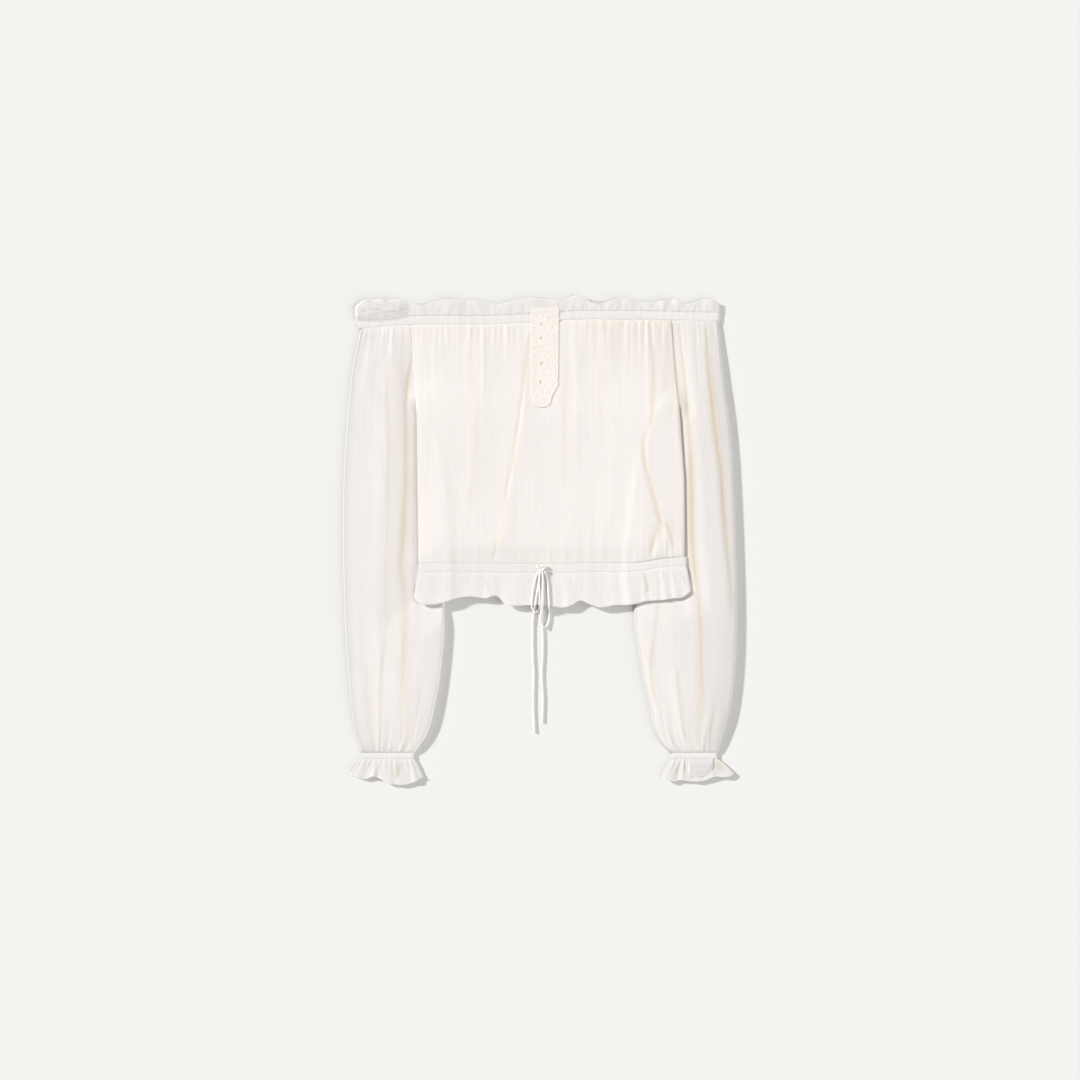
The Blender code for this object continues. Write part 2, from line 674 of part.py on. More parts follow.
def make_lace(under, finish):
    """Strip of lace on the front, raised off the highest cloth beneath each of its points."""
    share = np.linspace(-1, 1, LACE_COLUMNS + 1)[:, None]
    y = np.linspace(LACE_TOP, LACE_BOTTOM, LACE_ROWS + 1)[None, :] + 0 * share
    into_end = np.clip((LACE_BOTTOM + LACE_END - y) / LACE_END, 0, 1)
    scallop = LACE_SCALLOP * np.cos(2 * math.pi * LACE_SCALLOPS * (y - LACE_BOTTOM) / (LACE_TOP - LACE_BOTTOM))
    half = LACE_HALF_WIDTH * np.sqrt(1 - 0.8 * into_end ** 2) + scallop * (1 - into_end) - LACE_SCALLOP
    x = LACE_X + share * half
    cells = np.ones((LACE_COLUMNS, LACE_ROWS), bool)
    around = ((-1, 0), (-1, -1), (0, -1), (1, -1), (1, 0), (1, 1), (0, 1), (-1, 1))
    for hole_x, hole_y, wide, tall in LACE_HOLES:
        j = int(np.argmin(np.abs(y[0] - hole_y)))
        i = int(np.argmin(np.abs(x[:, j] - hole_x)))
        cells[i - 1:i + 1, j - 1:j + 1] = False
        for step_i, step_j in around:
            size = math.hypot(step_i, step_j)
            x[i + step_i, j + step_j] = hole_x + wide * step_i / size
            y[i + step_i, j + step_j] = hole_y - tall * step_j / size
    trees = [tree_of(piece) for piece in under]
    low = np.array([
        [top_under(trees, x[i, j], y[i, j], 4.0) + SEAM for j in range(LACE_ROWS + 1)]
        for i in range(LACE_COLUMNS + 1)
    ])
    slab("lace_placket", x, y, low, low + LACE_WALL, finish, cells)


# Hem tie

def make_knot(under, finish):
    """Rounded block with a band round its middle. Gives back the height of its underside."""
    width, height, depth = KNOT_SIZE
    bottom = top_under([tree_of(under)], KNOT[0], KNOT[1], width / 2) + SEAM
    work = bmesh.new()
    bmesh.ops.create_uvsphere(work, u_segments=14, v_segments=9, radius=1)
    for vert in work.verts:
        squared = [math.copysign(abs(value) ** 0.55, value) for value in vert.co]
        band = 0.86 + 0.14 * math.exp(-(squared[0] / 0.34) ** 2)
        vert.co = (
            (KNOT[0] + squared[0] * width / 2) * MM,
            (KNOT[1] + squared[1] * band * height / 2) * MM,
            (bottom + depth / 2 + squared[2] * band * depth / 2) * MM,
        )
    mesh = bpy.data.meshes.new("tie_knot")
    work.to_mesh(mesh)
    work.free()
    mesh.materials.append(finish)
    made = bpy.data.objects.new("tie_knot", mesh)
    bpy.context.scene.collection.objects.link(made)
    return made, bottom


def knot_exit(tree, x, z):
    """Point just off the knot's lower side, where the whole end of a cord clears it."""
    nearest = KNOT[1]
    for turn in range(8):
        side = x + CORD / 2 * math.cos(turn * math.pi / 4)
        up = z + CORD / 2 * math.sin(turn * math.pi / 4)
        hit = tree.ray_cast(Vector((side * MM, (KNOT[1] - 30) * MM, up * MM)), Vector((0, 1, 0)))[0]
        if hit is not None:
            nearest = min(nearest, hit.y / MM)
    middle = tree.ray_cast(Vector((x * MM, (KNOT[1] - 30) * MM, z * MM)), Vector((0, 1, 0)))[0]
    return (x, min(nearest, middle.y / MM) - 2 * SEAM, z)


def settle(name, start, route, end, trees, cords, finish):
    """Lays a cord along its route, on the highest thing under it, and gives back its fine points."""
    places = [start[:2], *route]
    if end is not None:
        places.append(end[:2])
    places = np.array(places, float)
    run = np.concatenate([[0], np.cumsum(np.hypot(*np.diff(places, axis=0).T))])
    fine = np.linspace(0, run[-1], int(run[-1]) + 1)
    x = curve(np.stack([run, places[:, 0]], 1), fine)
    y = curve(np.stack([run, places[:, 1]], 1), fine)
    floor = np.array([top_under(trees, a, b, CORD / 2) for a, b in zip(x, y)]) + CORD / 2 + 0.15
    apart = CORD + SEAM
    for other in cords:
        off = np.hypot(x[:, None] - other[None, :, 0], y[:, None] - other[None, :, 1])
        over = other[None, :, 2] + np.sqrt(np.clip(apart ** 2 - off ** 2, 0, None))
        floor = np.maximum(floor, np.where(off < apart, over, 0).max(axis=1))
    near = np.lib.stride_tricks.sliding_window_view(np.pad(floor, 3, mode="edge"), 7)
    floor = near.max(axis=1)
    z = floor.copy()
    z[0] = start[2]
    if end is not None:
        z[-1] = end[2]
    for _ in range(14):
        z[1:-1] = np.maximum(floor[1:-1], (z[:-2] + z[2:]) / 2)
        if end is None:
            z[-1] = max(floor[-1], z[-2])
    steps = np.hypot(np.hypot(np.diff(x), np.diff(y)), np.diff(z))
    length = np.concatenate([[0], np.cumsum(steps)])
    count = max(12, round(length[-1] / CORD_STEP) + 1)
    at = np.linspace(0, length[-1], count)
    points = np.stack([np.interp(at, length, axis) for axis in (x, y, z)], 1)
    made = bpy.data.curves.new(name, "CURVE")
    made.dimensions = "3D"
    made.bevel_depth = CORD / 2 * MM
    made.bevel_resolution = 2
    made.use_fill_caps = True
    spline = made.splines.new("POLY")
    spline.points.add(count - 1)
    for point, place in zip(spline.points, points):
        point.co = (*(place * MM), 1)
    made.materials.append(finish)
    bpy.context.scene.collection.objects.link(bpy.data.objects.new(name, made))
    return np.stack([x, y, z], 1)


def make_tie(casing, skirt, finish):
    knot, bottom = make_knot(casing, finish)
    tree = tree_of(knot)
    trees = [tree_of(casing), tree_of(skirt)]
    low = bottom + KNOT_SIZE[2] / 2 - (CORD + SEAM) / 2
    high = low + CORD + SEAM
    beside = (CORD + SEAM) / 2
    left = settle("tie_tail_left", knot_exit(tree, KNOT[0] - beside, low), TAIL_LEFT, None, trees, [], finish)
    right = settle("tie_tail_right", knot_exit(tree, KNOT[0] + beside, low), TAIL_RIGHT, None, trees, [left],
                   finish)
    short = settle("tie_loop_short", knot_exit(tree, KNOT[0] - 3 * beside, high), LOOP_SHORT,
                   knot_exit(tree, KNOT[0] - beside, high), trees, [left, right], finish)
    settle("tie_loop_long", knot_exit(tree, KNOT[0] + 3 * beside, high), LOOP_LONG,
           knot_exit(tree, KNOT[0] + beside, high), trees, [left, right, short], finish)


def main():
    for obj in list(bpy.data.objects):
        bpy.data.objects.remove(obj, do_unlink=True)
    chiffon = material("body_chiffon", CHIFFON)
    sleeve_cloth = material("sleeve_chiffon", CHIFFON)
    frill = material("frill_chiffon", FRILL_CLOTH)
    band = material("casing_cloth", BAND_CLOTH)
    lace = material("lace", LACE_CLOTH)
    cord = material("tie_cord", CORD_CLOTH)
    front = make_body(chiffon)
    for side in (-1, 1):
        make_sleeve(side, sleeve_cloth)
        make_cuff(side, band, frill)
    neck_casing, neck_frill = make_neck(band, frill)
    hem_casing, hem_frill = make_hem(band, frill)
    bpy.context.view_layer.update()
    make_lace([front, neck_casing, neck_frill], lace)
    make_tie(hem_casing, hem_frill, cord)


main()
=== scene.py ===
import math

import bmesh
import bpy
import numpy as np
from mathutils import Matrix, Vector
from mathutils.bvhtree import BVHTree


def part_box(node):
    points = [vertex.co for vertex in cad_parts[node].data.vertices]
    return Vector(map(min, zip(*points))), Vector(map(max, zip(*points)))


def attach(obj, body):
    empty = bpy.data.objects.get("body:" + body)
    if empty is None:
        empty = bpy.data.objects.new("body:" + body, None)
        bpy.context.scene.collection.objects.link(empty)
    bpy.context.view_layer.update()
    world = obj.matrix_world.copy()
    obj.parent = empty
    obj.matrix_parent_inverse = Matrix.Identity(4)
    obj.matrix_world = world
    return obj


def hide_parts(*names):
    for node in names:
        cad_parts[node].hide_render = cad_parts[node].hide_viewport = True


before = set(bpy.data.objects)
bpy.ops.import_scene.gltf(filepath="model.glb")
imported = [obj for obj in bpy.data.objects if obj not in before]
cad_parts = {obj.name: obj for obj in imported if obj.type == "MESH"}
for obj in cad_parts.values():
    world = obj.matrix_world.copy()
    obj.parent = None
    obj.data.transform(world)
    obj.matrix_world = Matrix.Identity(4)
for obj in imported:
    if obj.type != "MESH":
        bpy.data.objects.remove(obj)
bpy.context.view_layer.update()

# An off-shoulder top in ivory crinkled chiffon, laid flat with its front up.
# Lengths in this script are millimetres; meshes are made in metres.

mm = 0.001

cloth = {
    "wall": 1.3,            # the solids' cloth wall, which the shells follow
    "shell": 0.5,           # thickness of the shells
    "seam": 0.3,
    "layer": 0.4,           # between panels which lie on each other
    "seamPuff": 0.3,
    "tuck": 0.6,            # a cloth edge goes this far under its neighbour
    "creaseDepth": 0.32,    # share of the depths in the tables of creases
    "frillRows": 26,
    "creaseLimit": 2.4,     # a crease of a frill goes down no further
    "foldHeight": 0.6,      # share of the heights in the tables of folds
    "underarmY": 160.0,
    "underBody": 4.0,       # height of a sleeve where the body lies on it
    "lift": 4.5,
    "liftSlope": 24.0,
    "liftMargin": 7.0,
    "liftAhead": 38.0,
    "hemTipY": -88.0,
}
# height of a seam: two walls and what lies between them
seamHeight = 2 * cloth["wall"] + cloth["layer"] + cloth["seamPuff"]


# curves through tables

def curve(rows, at):
    # cubic pieces through rows of (place, value), with slopes from the neighbours; level past the ends
    rows = np.array(sorted(rows, key=lambda row: row[0]), float)
    place, value = rows[:, 0], rows[:, 1]
    slope = np.gradient(value, place)
    at = np.clip(at, place[0], place[-1])
    k = np.clip(np.searchsorted(place, at, side="right") - 1, 0, len(place) - 2)
    span = place[k + 1] - place[k]
    u = (at - place[k]) / span
    start = (2 * u**3 - 3 * u**2 + 1) * value[k] + (u**3 - 2 * u**2 + u) * span * slope[k]
    end = (3 * u**2 - 2 * u**3) * value[k + 1] + (u**3 - u**2) * span * slope[k + 1]
    return start + end


def straight(rows, at):
    rows = np.array(rows, float)
    return np.interp(at, rows[:, 0], rows[:, 1])


def placeOf(rows, value):
    # the other way round: where the straight runs reach a value
    rows = np.array(rows, float)
    return np.interp(value, rows[:, 1], rows[:, 0])


def ramp(start, end, at):
    # 0 before start, 1 after end, smooth between
    u = np.clip((at - start) / (end - start), 0, 1)
    return u * u * (3 - 2 * u)


def uneven(x, y, size, seed):
    # smooth noise between -1 and 1: six sines in turned directions, each with its own wavelength near size
    total = 0
    for k in range(6):
        turn = seed * 1.7 + k * 2.399
        length = size * (0.7 + 0.13 * k)
        along = x * math.cos(turn) + y * math.sin(turn)
        total = total + np.sin(2 * math.pi * along / length + seed * 3.1 + k * 1.9)
    return total / 3.4


def hashed(k, seed):
    # fixed numbers between 0 and 1, one for each whole k
    value = np.sin(np.asarray(k, float) * 12.9898 + seed * 78.233) * 43758.5453
    return value - np.floor(value)


# outline

body = {
    "left": ((-31, -150.5), (150, -152.5), (275, -160)),
    "right": ((-31, 179), (27, 179), (77, 178.6), (150, 173.6), (275, 162.2)),
    "neckLine": ((-226, 270), (-160, 274.5), (-60, 275), (0, 278), (40, 280.8), (110, 281), (222, 279)),
    "hemLine": ((-150, -32), (60, -32), (124, -30.5), (150, -26), (181, -24)),
    "casing": 10.0,
    "neckGathers": ((-226, 0), (-160, 6), (-13, 16), (25, 18), (75, 22), (162, 31), (222, 38)),
    "hemGathers": ((-150, 0), (-60, 5), (30, 10), (120, 16), (150, 20), (181, 25)),
    "neckDepth": ((-226, 1.8), (-160, 1.3), (-100, 1.1), (-30, 1.2), (-12, 0.2), (24, 0.2), (45, 1.4),
                  (100, 1.8), (160, 2.0), (222, 1.8)),
    "hemDepth": ((-150, 0.8), (-60, 0.9), (30, 0.9), (110, 1.3), (150, 2.2), (181, 2.4)),
    "puff": ((275, 0.1), (240, 0.9), (150, 1.2), (60, 1.6), (15, 3.0), (-5, 3.3), (-17, 1.6), (-27, 0.2)),
    "sideRound": 3.0,
    "grid": (270, 140),     # columns and rows of the front
    "backGrid": (130, 80),
}

# folds: height, width to the left, width to the right, y of its start and end, route as y, x
frontFolds = (
    (2.6, 2.6, 17, 282, -20, ((273, -13), (230, -14), (152, -22), (88, -33), (32, -44), (-19, -55))),
    (1.3, 6, 12, 272, 40, ((262, -85), (203, -76), (126, -81), (97, -81), (52, -88))),
    (1.5, 9, 9, 262, 110, ((238, 43), (191, 47), (139, 45))),
    (1.1, 6, 9, 270, 180, ((262, 80), (190, 76))),
    (1.3, 14, 18, 190, 5, ((180, 84), (100, 92), (20, 88))),
    (1.2, 12, 18, 220, -10, ((210, -124), (100, -118), (0, -122))),
    (2.0, 3, 15, 280, -15,
     ((262, 139), (216, 141), (156, 139), (126, 134), (95, 135), (52, 147), (14, 158), (-12, 166))),
    (-1.4, 4, 6, 30, -25, ((22, 146), (0, 143), (-22, 134))),
)

# creases: depth, route as y, x, width, strength of the painted shade in the crease
frontCreases = (
    (2.4, ((262, -13, 2.0, 0.4), (249, -14.3, 2.2, 0.5), (230, -16.1, 2.4, 0.5), (208, -18.1, 2.4, 0.5),
           (174, -22.7, 2.4, 0.45), (144, -27, 2.4, 0.42), (103, -32.2, 2.4, 0.42), (69, -39.7, 2.2, 0.42),
           (33, -44.8, 2.2, 0.42), (1, -52.2, 1.8, 0.4), (-26, -60.8, 1.3, 0.5))),
    (2.4, ((268, -86.2, 3, 0.12), (232, -86.2, 5, 0.12), (210, -82, 6, 0.14), (139, -78.7, 6, 0.16),
           (97, -80.8, 6, 0.13), (40, -87.2, 6, 0.08))),
    (2.4, ((262, 34, 4, 0.12), (180, 32, 4, 0.18), (60, 30.6, 4, 0.10))),
    (2.4, ((268, 74, 4, 0.14), (110, 76.5, 5, 0.10))),
    (2.4, ((268, 52, 3, 0.12), (190, 50, 4, 0.10))),
    (2.4, ((268, 114, 2.5, 0.28), (225, 112, 4, 0.14))),
    (1.6, ((268, 92, 2.5, 0.22), (215, 90, 4, 0.12))), (1.6, ((268, 126, 2.2, 0.26), (232, 127, 3, 0.14))),
    (1.6, ((268, 149, 2.2, 0.32), (225, 152, 3, 0.22), (180, 156, 3.5, 0.12))),
    (1.6, ((268, 157, 1.8, 0.36), (236, 160, 2.4, 0.3), (200, 163, 2.4, 0.15))),
    (3.0, ((272, 137, 1.8, 0.45), (223, 141, 2.8, 0.5), (176, 140, 3.0, 0.5), (149, 137.3, 3.0, 0.5),
           (131, 131, 3.0, 0.45), (112, 128.5, 3.2, 0.5), (79, 135.4, 3.4, 0.5), (50, 143.8, 3.6, 0.5),
           (27, 149.8, 3.4, 0.5), (20, 156.6, 3.4, 0.45), (4, 162.9, 2.4, 0.5), (-14, 164.9, 1.6, 0.5))),
    (3.0, ((60, 141, 3, 0.3), (27, 148.8, 4.2, 0.42), (12, 143.8, 4.2, 0.4), (-20, 136.8, 2.6, 0.5))),
)
# the crease along the right armhole, with painted shade in it, on the body and on the sleeve
armholeCrease = (2.2, ((276, 162.5, 1.6, 0.45), (258, 164, 2.0, 0.5), (213, 168, 2.2, 0.5),
                       (176, 172.5, 2.6, 0.55), (128, 176.5, 2.8, 0.55), (100, 178.5, 2.0, 0.3)))

sleeves = {
    -1: {
        "name": "sleeve_left",
        "beside": (0.5, 2.5, 0.11),     # a step up beside the body, its width and the slope after it
        "gathers": (0, 6.5),            # the part of the neckline's gathers
        "outer": ((273, -220), (238, -228), (213, -233), (176, -236.8), (114, -241.8), (52, -244),
                  (-22, -244), (-97, -241.8), (-134, -240), (-171, -237), (-208, -233.5), (-233, -229.5),
                  (-250, -224), (-262, -221)),
        "inner": ((120, -146), (52, -129), (-47, -120), (-104, -118.5), (-146, -121.5), (-196, -129),
                  (-239, -141), (-262, -156)),
        "folds": (
            (2.2, 3, 12, 285, -262,
             ((262, -160), (234, -158), (203, -163), (149, -167), (113, -169), (-22, -172), (-105, -171),
              (-186, -170), (-262, -170))),
            (1.5, 12, 7, 200, 20, ((190, -205), (130, -190), (40, -196))),
            (2.0, 10, 4, -70, -262, ((-100, -199), (-198, -198), (-249, -199))),
            (1.6, 7, 5, -190, -262, ((-205, -150), (-231, -153), (-258, -163))),
            (1.4, 8, 8, 268, 170, ((262, -196), (190, -214))),
            (1.4, 7, 9, -150, -262, ((-170, -224), (-230, -216), (-258, -210))),
        ),
        "creases": (
            (3.0, ((276, -160.5, 1.5, 0.35), (232, -157.8, 1.8, 0.4), (200, -163.5, 2.6, 0.55),
                   (172, -165.5, 3.0, 0.6), (139, -166.5, 3.4, 0.6), (76, -166.5, 3.6, 0.6),
                   (12, -169.6, 3.8, 0.62), (-37, -171.9, 3.6, 0.55), (-62, -168.6, 4.4, 0.4),
                   (-103, -167.2, 5.4, 0.4), (-148, -169.4, 4.6, 0.42), (-190, -171, 2.8, 0.38),
                   (-213, -171.6, 1.8, 0.35), (-260, -169.4, 1.4, 0.4))),
            (2.6, ((235, -184, 3, 0.2), (200, -187.5, 3, 0.26), (139, -186.6, 2.6, 0.26),
                   (76, -188, 2.4, 0.26), (0, -190, 2.2, 0.2), (-51, -191, 2, 0.18),
                   (-120, -190, 2, 0.15), (-165, -196, 1.8, 0.24), (-258, -197.4, 1.4, 0.34))),
            (1.0, ((150, -156, 1.1, 0.28), (76, -156, 1.2, 0.3), (-20, -157, 1.2, 0.26))),
            (2.4, ((-170, -146, 2, 0.12), (-215, -152, 1.8, 0.2), (-258, -161, 1.3, 0.34))),
            (2.4, ((-150, -214, 5, 0.12), (-258, -207, 3, 0.16))),
        ),
    },
    1: {
        "name": "sleeve_right",
        "beside": (1.6, 1.3, 0.14),
        "gathers": (31, 38.5),
        "outer": ((273, 220.5), (201, 228), (139, 235.6), (52, 240.6), (-22, 243), (-84, 244), (-134, 243),
                  (-183, 239), (-221, 232), (-250, 223), (-262, 219.5)),
        "inner": ((120, 152), (52, 131), (-47, 119.5), (-97, 116.8), (-134, 121.5), (-171, 127.7),
                  (-208, 136.4), (-233, 141), (-250, 150), (-262, 162.4)),
        "folds": (
            (2.4, 3, 14, 280, -262,
             ((269, 173), (208, 179), (139, 187), (52, 190), (-41, 193), (-105, 197), (-183, 200),
              (-246, 202))),
            (2.0, 12, 4, 275, -110,
             ((260, 205), (191, 213), (139, 221), (57, 223), (5, 224), (-38, 230), (-72, 233))),
            (1.8, 8, 4, -115, -235, ((-138, 139), (-180, 143), (-211, 148))),
            (2.0, 9, 4, -140, -262, ((-172, 169), (-213, 175), (-243, 180))),
            (1.4, 5, 8, -190, -262, ((-205, 223), (-235, 218), (-258, 212))),
        ),
        "creases": (
            (3.0, ((276, 172, 1.6, 0.35), (268, 172.7, 1.8, 0.45), (213, 178.6, 2.2, 0.55),
                   (176, 182.3, 2.4, 0.6), (128, 184.8, 2.6, 0.65), (97, 186.2, 3.4, 0.8),
                   (55, 187.2, 4.0, 0.9), (12, 187.8, 4.0, 0.9), (-30, 190.6, 3.2, 0.7),
                   (-60, 194.7, 3.0, 0.5), (-99, 197.9, 3.6, 0.55), (-148, 199, 3.8, 0.6),
                   (-192, 200.1, 3.2, 0.52), (-223, 200.1, 2.2, 0.4), (-260, 200.1, 1.5, 0.35))),
            (3.0, ((276, 205, 1.6, 0.5), (213, 209.6, 2.6, 0.65), (176, 213.6, 3.2, 0.8),
                   (128, 218.8, 3.4, 0.75), (86, 224.4, 3.4, 0.7), (33, 228.5, 3.4, 0.62),
                   (-9, 232.7, 3, 0.45), (-52, 236.8, 2.4, 0.35), (-90, 240, 2, 0.2))),
            (2.6, ((-50, 146, 2, 0.25), (-73, 145, 2.2, 0.3), (-115, 142.8, 2.6, 0.3),
                   (-143, 138.5, 2.8, 0.42), (-181, 140.6, 2.2, 0.36), (-214, 149.4, 1.8, 0.3),
                   (-250, 159, 1.4, 0.25))),
            (2.6, ((-150, 169.5, 1.8, 0.15), (-183, 171.5, 1.9, 0.3), (-218, 175.8, 1.7, 0.36),
                   (-250, 182, 1.3, 0.36))),
            (2.4, ((276, 191, 1.5, 0.3), (235, 193, 2.2, 0.2), (190, 196, 2.6, 0.12))),
            (2.2, ((-200, 217, 2.2, 0.12), (-235, 212, 1.8, 0.3), (-260, 208, 1.3, 0.36))),
        ),
    },
    "neckY": 268.0,
    "top": -262.0,          # of the cuff casings, and their bottom
    "bottom": -268.0,
    "puff": ((268, 0.3), (235, 2.4), (120, 4.6), (0, 5.6), (-150, 6.0), (-225, 4.8), (-250, 2.4),
             (-262, 0.3)),
    "edge": 3.2,            # radius of the outer edges
    "neckDepth": 0.9,
    "cuffDepth": 1.2,
    "grid": (144, 192),     # columns of the top, and stations
    "below": 40,            # columns of the underside
}


def bodyEdge(side, y):
    return straight(body["left"] if side < 0 else body["right"], y)


def sleeveInner(side, y):
    # along the body's side down to the underarm, then in under the body
    seam = bodyEdge(side, y) + side * cloth["seam"]
    free = curve(sleeves[side]["inner"], y)
    under = cloth["underarmY"]
    return seam + (free - seam) * ramp(under, under - 45, y)


def sleeveOuter(side, y):
    return curve(sleeves[side]["outer"], y)


def neckSeam(x):
    return curve(body["neckLine"], x) - body["casing"] / 2 - cloth["seam"]


def hemSeam(x):
    return curve(body["hemLine"], x) + body["casing"] / 2 + cloth["seam"]


def lift(x, y):
    # underside of the body: 0 in the middle, raised where it lies on a sleeve
    ahead = y - cloth["liftAhead"]
    left = sleeveInner(-1, ahead) + cloth["liftMargin"]
    right = sleeveInner(1, ahead) - cloth["liftMargin"]
    slope = cloth["liftSlope"]
    over = np.maximum(ramp(left + slope, left, x), ramp(right - slope, right, x))
    under = cloth["underarmY"]
    tip = cloth["hemTipY"]
    return cloth["lift"] * over * ramp(under + 42, under + 4, y) * ramp(tip - 20, tip, y)


def frontLift(x, y):
    # the same for the top of the front, which spans from sleeve to sleeve in one long slope: the smooth
    # maximum of the two heights
    under = cloth["underarmY"]
    fromSide = np.minimum(x - bodyEdge(-1, y), bodyEdge(1, y) - x)
    broad = 0.62 + 0.38 * (1 - ramp(0, 110, fromSide))
    along = ramp(under + 60, under - 10, y) * ramp(cloth["hemTipY"] - 20, cloth["hemTipY"], y)
    low, spanned = lift(x, y), cloth["lift"] * broad * along
    high = (low + spanned + np.sqrt((low - spanned) ** 2 + 1.2 ** 2 * along)) / 2
    free = np.maximum(ramp(0, 26, fromSide), ramp(under + 4, under - 10, y))
    return low + (np.maximum(high, low) - low) * free


def seamTop(x, y):
    return frontLift(x, y) + seamHeight


def foldHeight(folds, x, y):
    # sum of the folds: a steep side and a long side away from each route, faded at both ends
    total = np.zeros_like(x)
    for height, left, right, start, end, route in folds:
        off = x - curve(route, y)
        across = np.where(off < 0, np.exp(-(off / left) ** 2), np.exp(-np.abs(off / right) ** 1.6))
        ends = ramp(start, start - 28, y) * ramp(end, end + 28, y)
        total = total + cloth["foldHeight"] * height * across * ends
    return total


def creased(creases, x, y):
    # valleys along routes: how far the cloth goes down, and how strongly the painted shade of the folds shows
    lower, shade = np.zeros_like(x), np.zeros_like(x)
    for depth, route in creases:
        rows = np.array(sorted(route), float)
        width, strength = straight(rows[:, [0, 2]], y), straight(rows[:, [0, 3]], y)
        core = np.exp(-np.abs((x - curve(rows[:, :2], y)) / (1.12 * width)) ** 1.6)
        ends = ramp(rows[0, 0] - 1, rows[0, 0] + 14, y) * ramp(rows[-1, 0] + 1, rows[-1, 0] - 14, y)
        lower = lower + cloth["creaseDepth"] * depth * strength * core * ends
        shade = np.maximum(shade, strength * core * ends)
    return lower, shade


def gatherHeight(places, depth, reach, x, fromSeam, seed):
    # sum of narrow ridges that leave a seam: each has its own place, depth, width, lean and reach
    total = np.zeros_like(x)
    for k, place in enumerate(places):
        own = 0.35 + 0.95 * hashed(k, seed)
        long = reach * (0.35 + 1.0 * hashed(k, seed + 1) ** 1.5)
        drift = 0.10 * (hashed(k, seed + 2) - 0.5)
        wide = 1.9 + 1.2 * hashed(k, seed + 3) + 0.035 * fromSeam
        off = x - (place + (hashed(k, seed + 4) - 0.5) * 2.5) - drift * fromSeam
        fade = np.exp(-(np.clip(fromSeam, 0, None) / long) ** 1.5) * ramp(-1, 7, fromSeam)
        total = total + depth(place) * own * np.exp(-np.abs(off / wide) ** 1.7) * fade
    return total


def crinkle(across, along, seed):
    # fine creases that run with the grain: two waves whose phase drifts slowly, strong in some places only
    drift = 1.1 * uneven(across * 0.5, along * 0.16, 24, seed)
    drift = drift + 0.8 * uneven(across, along * 0.4, 90, seed + 1)
    fine = np.sin(2 * math.pi * across / 3.7 + drift * 2.4)
    wide = np.sin(2 * math.pi * across / 8.9 + drift * 1.7 + 1.0)
    strength = 0.55 + 0.45 * uneven(across, along * 0.4, 48, seed + 2)
    return (0.028 * fine + 0.05 * wide) * strength


# making meshes

def blurred(values, wide, tall):
    # running mean over a box, along both axes of a grid
    for axis, size in ((0, wide), (1, tall)):
        if size < 1:
            continue
        pad = [(size, size) if axis == a else (0, 0) for a in (0, 1)]
        total = np.cumsum(np.pad(values, pad, mode="edge"), axis=axis)
        total = np.concatenate([np.zeros_like(np.take(total, [0], axis)), total], axis=axis)
        count = values.shape[axis]
        high = np.take(total, np.arange(count) + 2 * size + 1, axis)
        low = np.take(total, np.arange(count), axis)
        values = (high - low) / (2 * size + 1)
    return values


def gridMesh(name, x, y, z, u, v, deep, sheerAndShade=0.0, wrap=False, upward=True, cells=None):
    # A mesh over a grid of points, with uv in metres of cloth and two attributes: deep, 1 inside folds,
    # where painted shade goes, and a second, 1 where few layers lie on each other and turn greyer, and
    # where lit edges get painted shade. cells says which cells are cloth.
    columns, rows = x.shape
    mesh = bpy.data.meshes.new(name)
    points = np.stack([x, y, z], -1).reshape(-1, 3) * mm
    i = np.arange(columns if wrap else columns - 1)[:, None]
    j = np.arange(rows - 1)[None, :]
    after = (i + 1) % columns
    quads = np.stack([i * rows + j, after * rows + j, after * rows + j + 1, i * rows + j + 1], -1)
    if upward:
        quads = quads[..., ::-1]
    quads = quads.reshape(-1, 4) if cells is None else quads[cells]
    u, v, deep, sheerAndShade = (np.broadcast_to(values, x.shape).ravel() for values in (u, v, deep, sheerAndShade))
    if cells is not None:
        used, quads = np.unique(quads, return_inverse=True)
        quads, points = quads.reshape(-1, 4), points[used]
        u, v, deep, sheerAndShade = u[used], v[used], deep[used], sheerAndShade[used]
    mesh.vertices.add(len(points))
    mesh.vertices.foreach_set("co", points.ravel())
    mesh.loops.add(quads.size)
    mesh.loops.foreach_set("vertex_index", quads.ravel())
    mesh.polygons.add(len(quads))
    mesh.polygons.foreach_set("loop_start", np.arange(0, quads.size, 4))
    mesh.update(calc_edges=True)
    mesh.validate()
    mesh.shade_smooth()
    layer = mesh.uv_layers.new(name="cloth")
    corner = quads.ravel()
    uv = np.stack([u[corner], v[corner]], -1)
    layer.data.foreach_set("uv", (uv * mm).ravel())
    for attribute, values in (("deep", deep), ("sheerAndShade", sheerAndShade)):
        shade = mesh.attributes.new(attribute, "FLOAT", "POINT")
        shade.data.foreach_set("value", np.clip(values, 0, 1))
    return mesh


def piece(name, mesh, finish, shell=None):
    made = bpy.data.objects.new(name, mesh)
    bpy.context.scene.collection.objects.link(made)
    mesh.materials.append(finish)
    if shell:
        wall = made.modifiers.new("wall", "SOLIDIFY")
        wall.thickness = shell * mm
        wall.offset = -1
        wall.use_even_offset = False
    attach(made, "root")
    return made


def hollows(height, wide, tall, depth):
    # how far each point lies below the mean of those round it, 1 at the given depth
    return np.clip((blurred(height, wide, tall) - height) / depth, 0, 1)


# finishes

crepe = {
    "sheerAndShade": (0.62, 0.60, 0.575),    # colour of single layers, also used as painted shade on lit edges
    "rough": 0.9,
    "soft": 0.15,                   # light that passes through the cloth
    "streakToneAndShade": 0.024,                  # how much the streaks darken it: painted shade in the hollows of the fine creases, and an uneven tone in the bands
    # noises: scale along the weft, the warp and upward, then detail
    "noises": {"creases": ((330, 26, 1), 3), "grain": ((1700, 900, 1), 2), "bands": ((48, 5, 1), 2)},
}


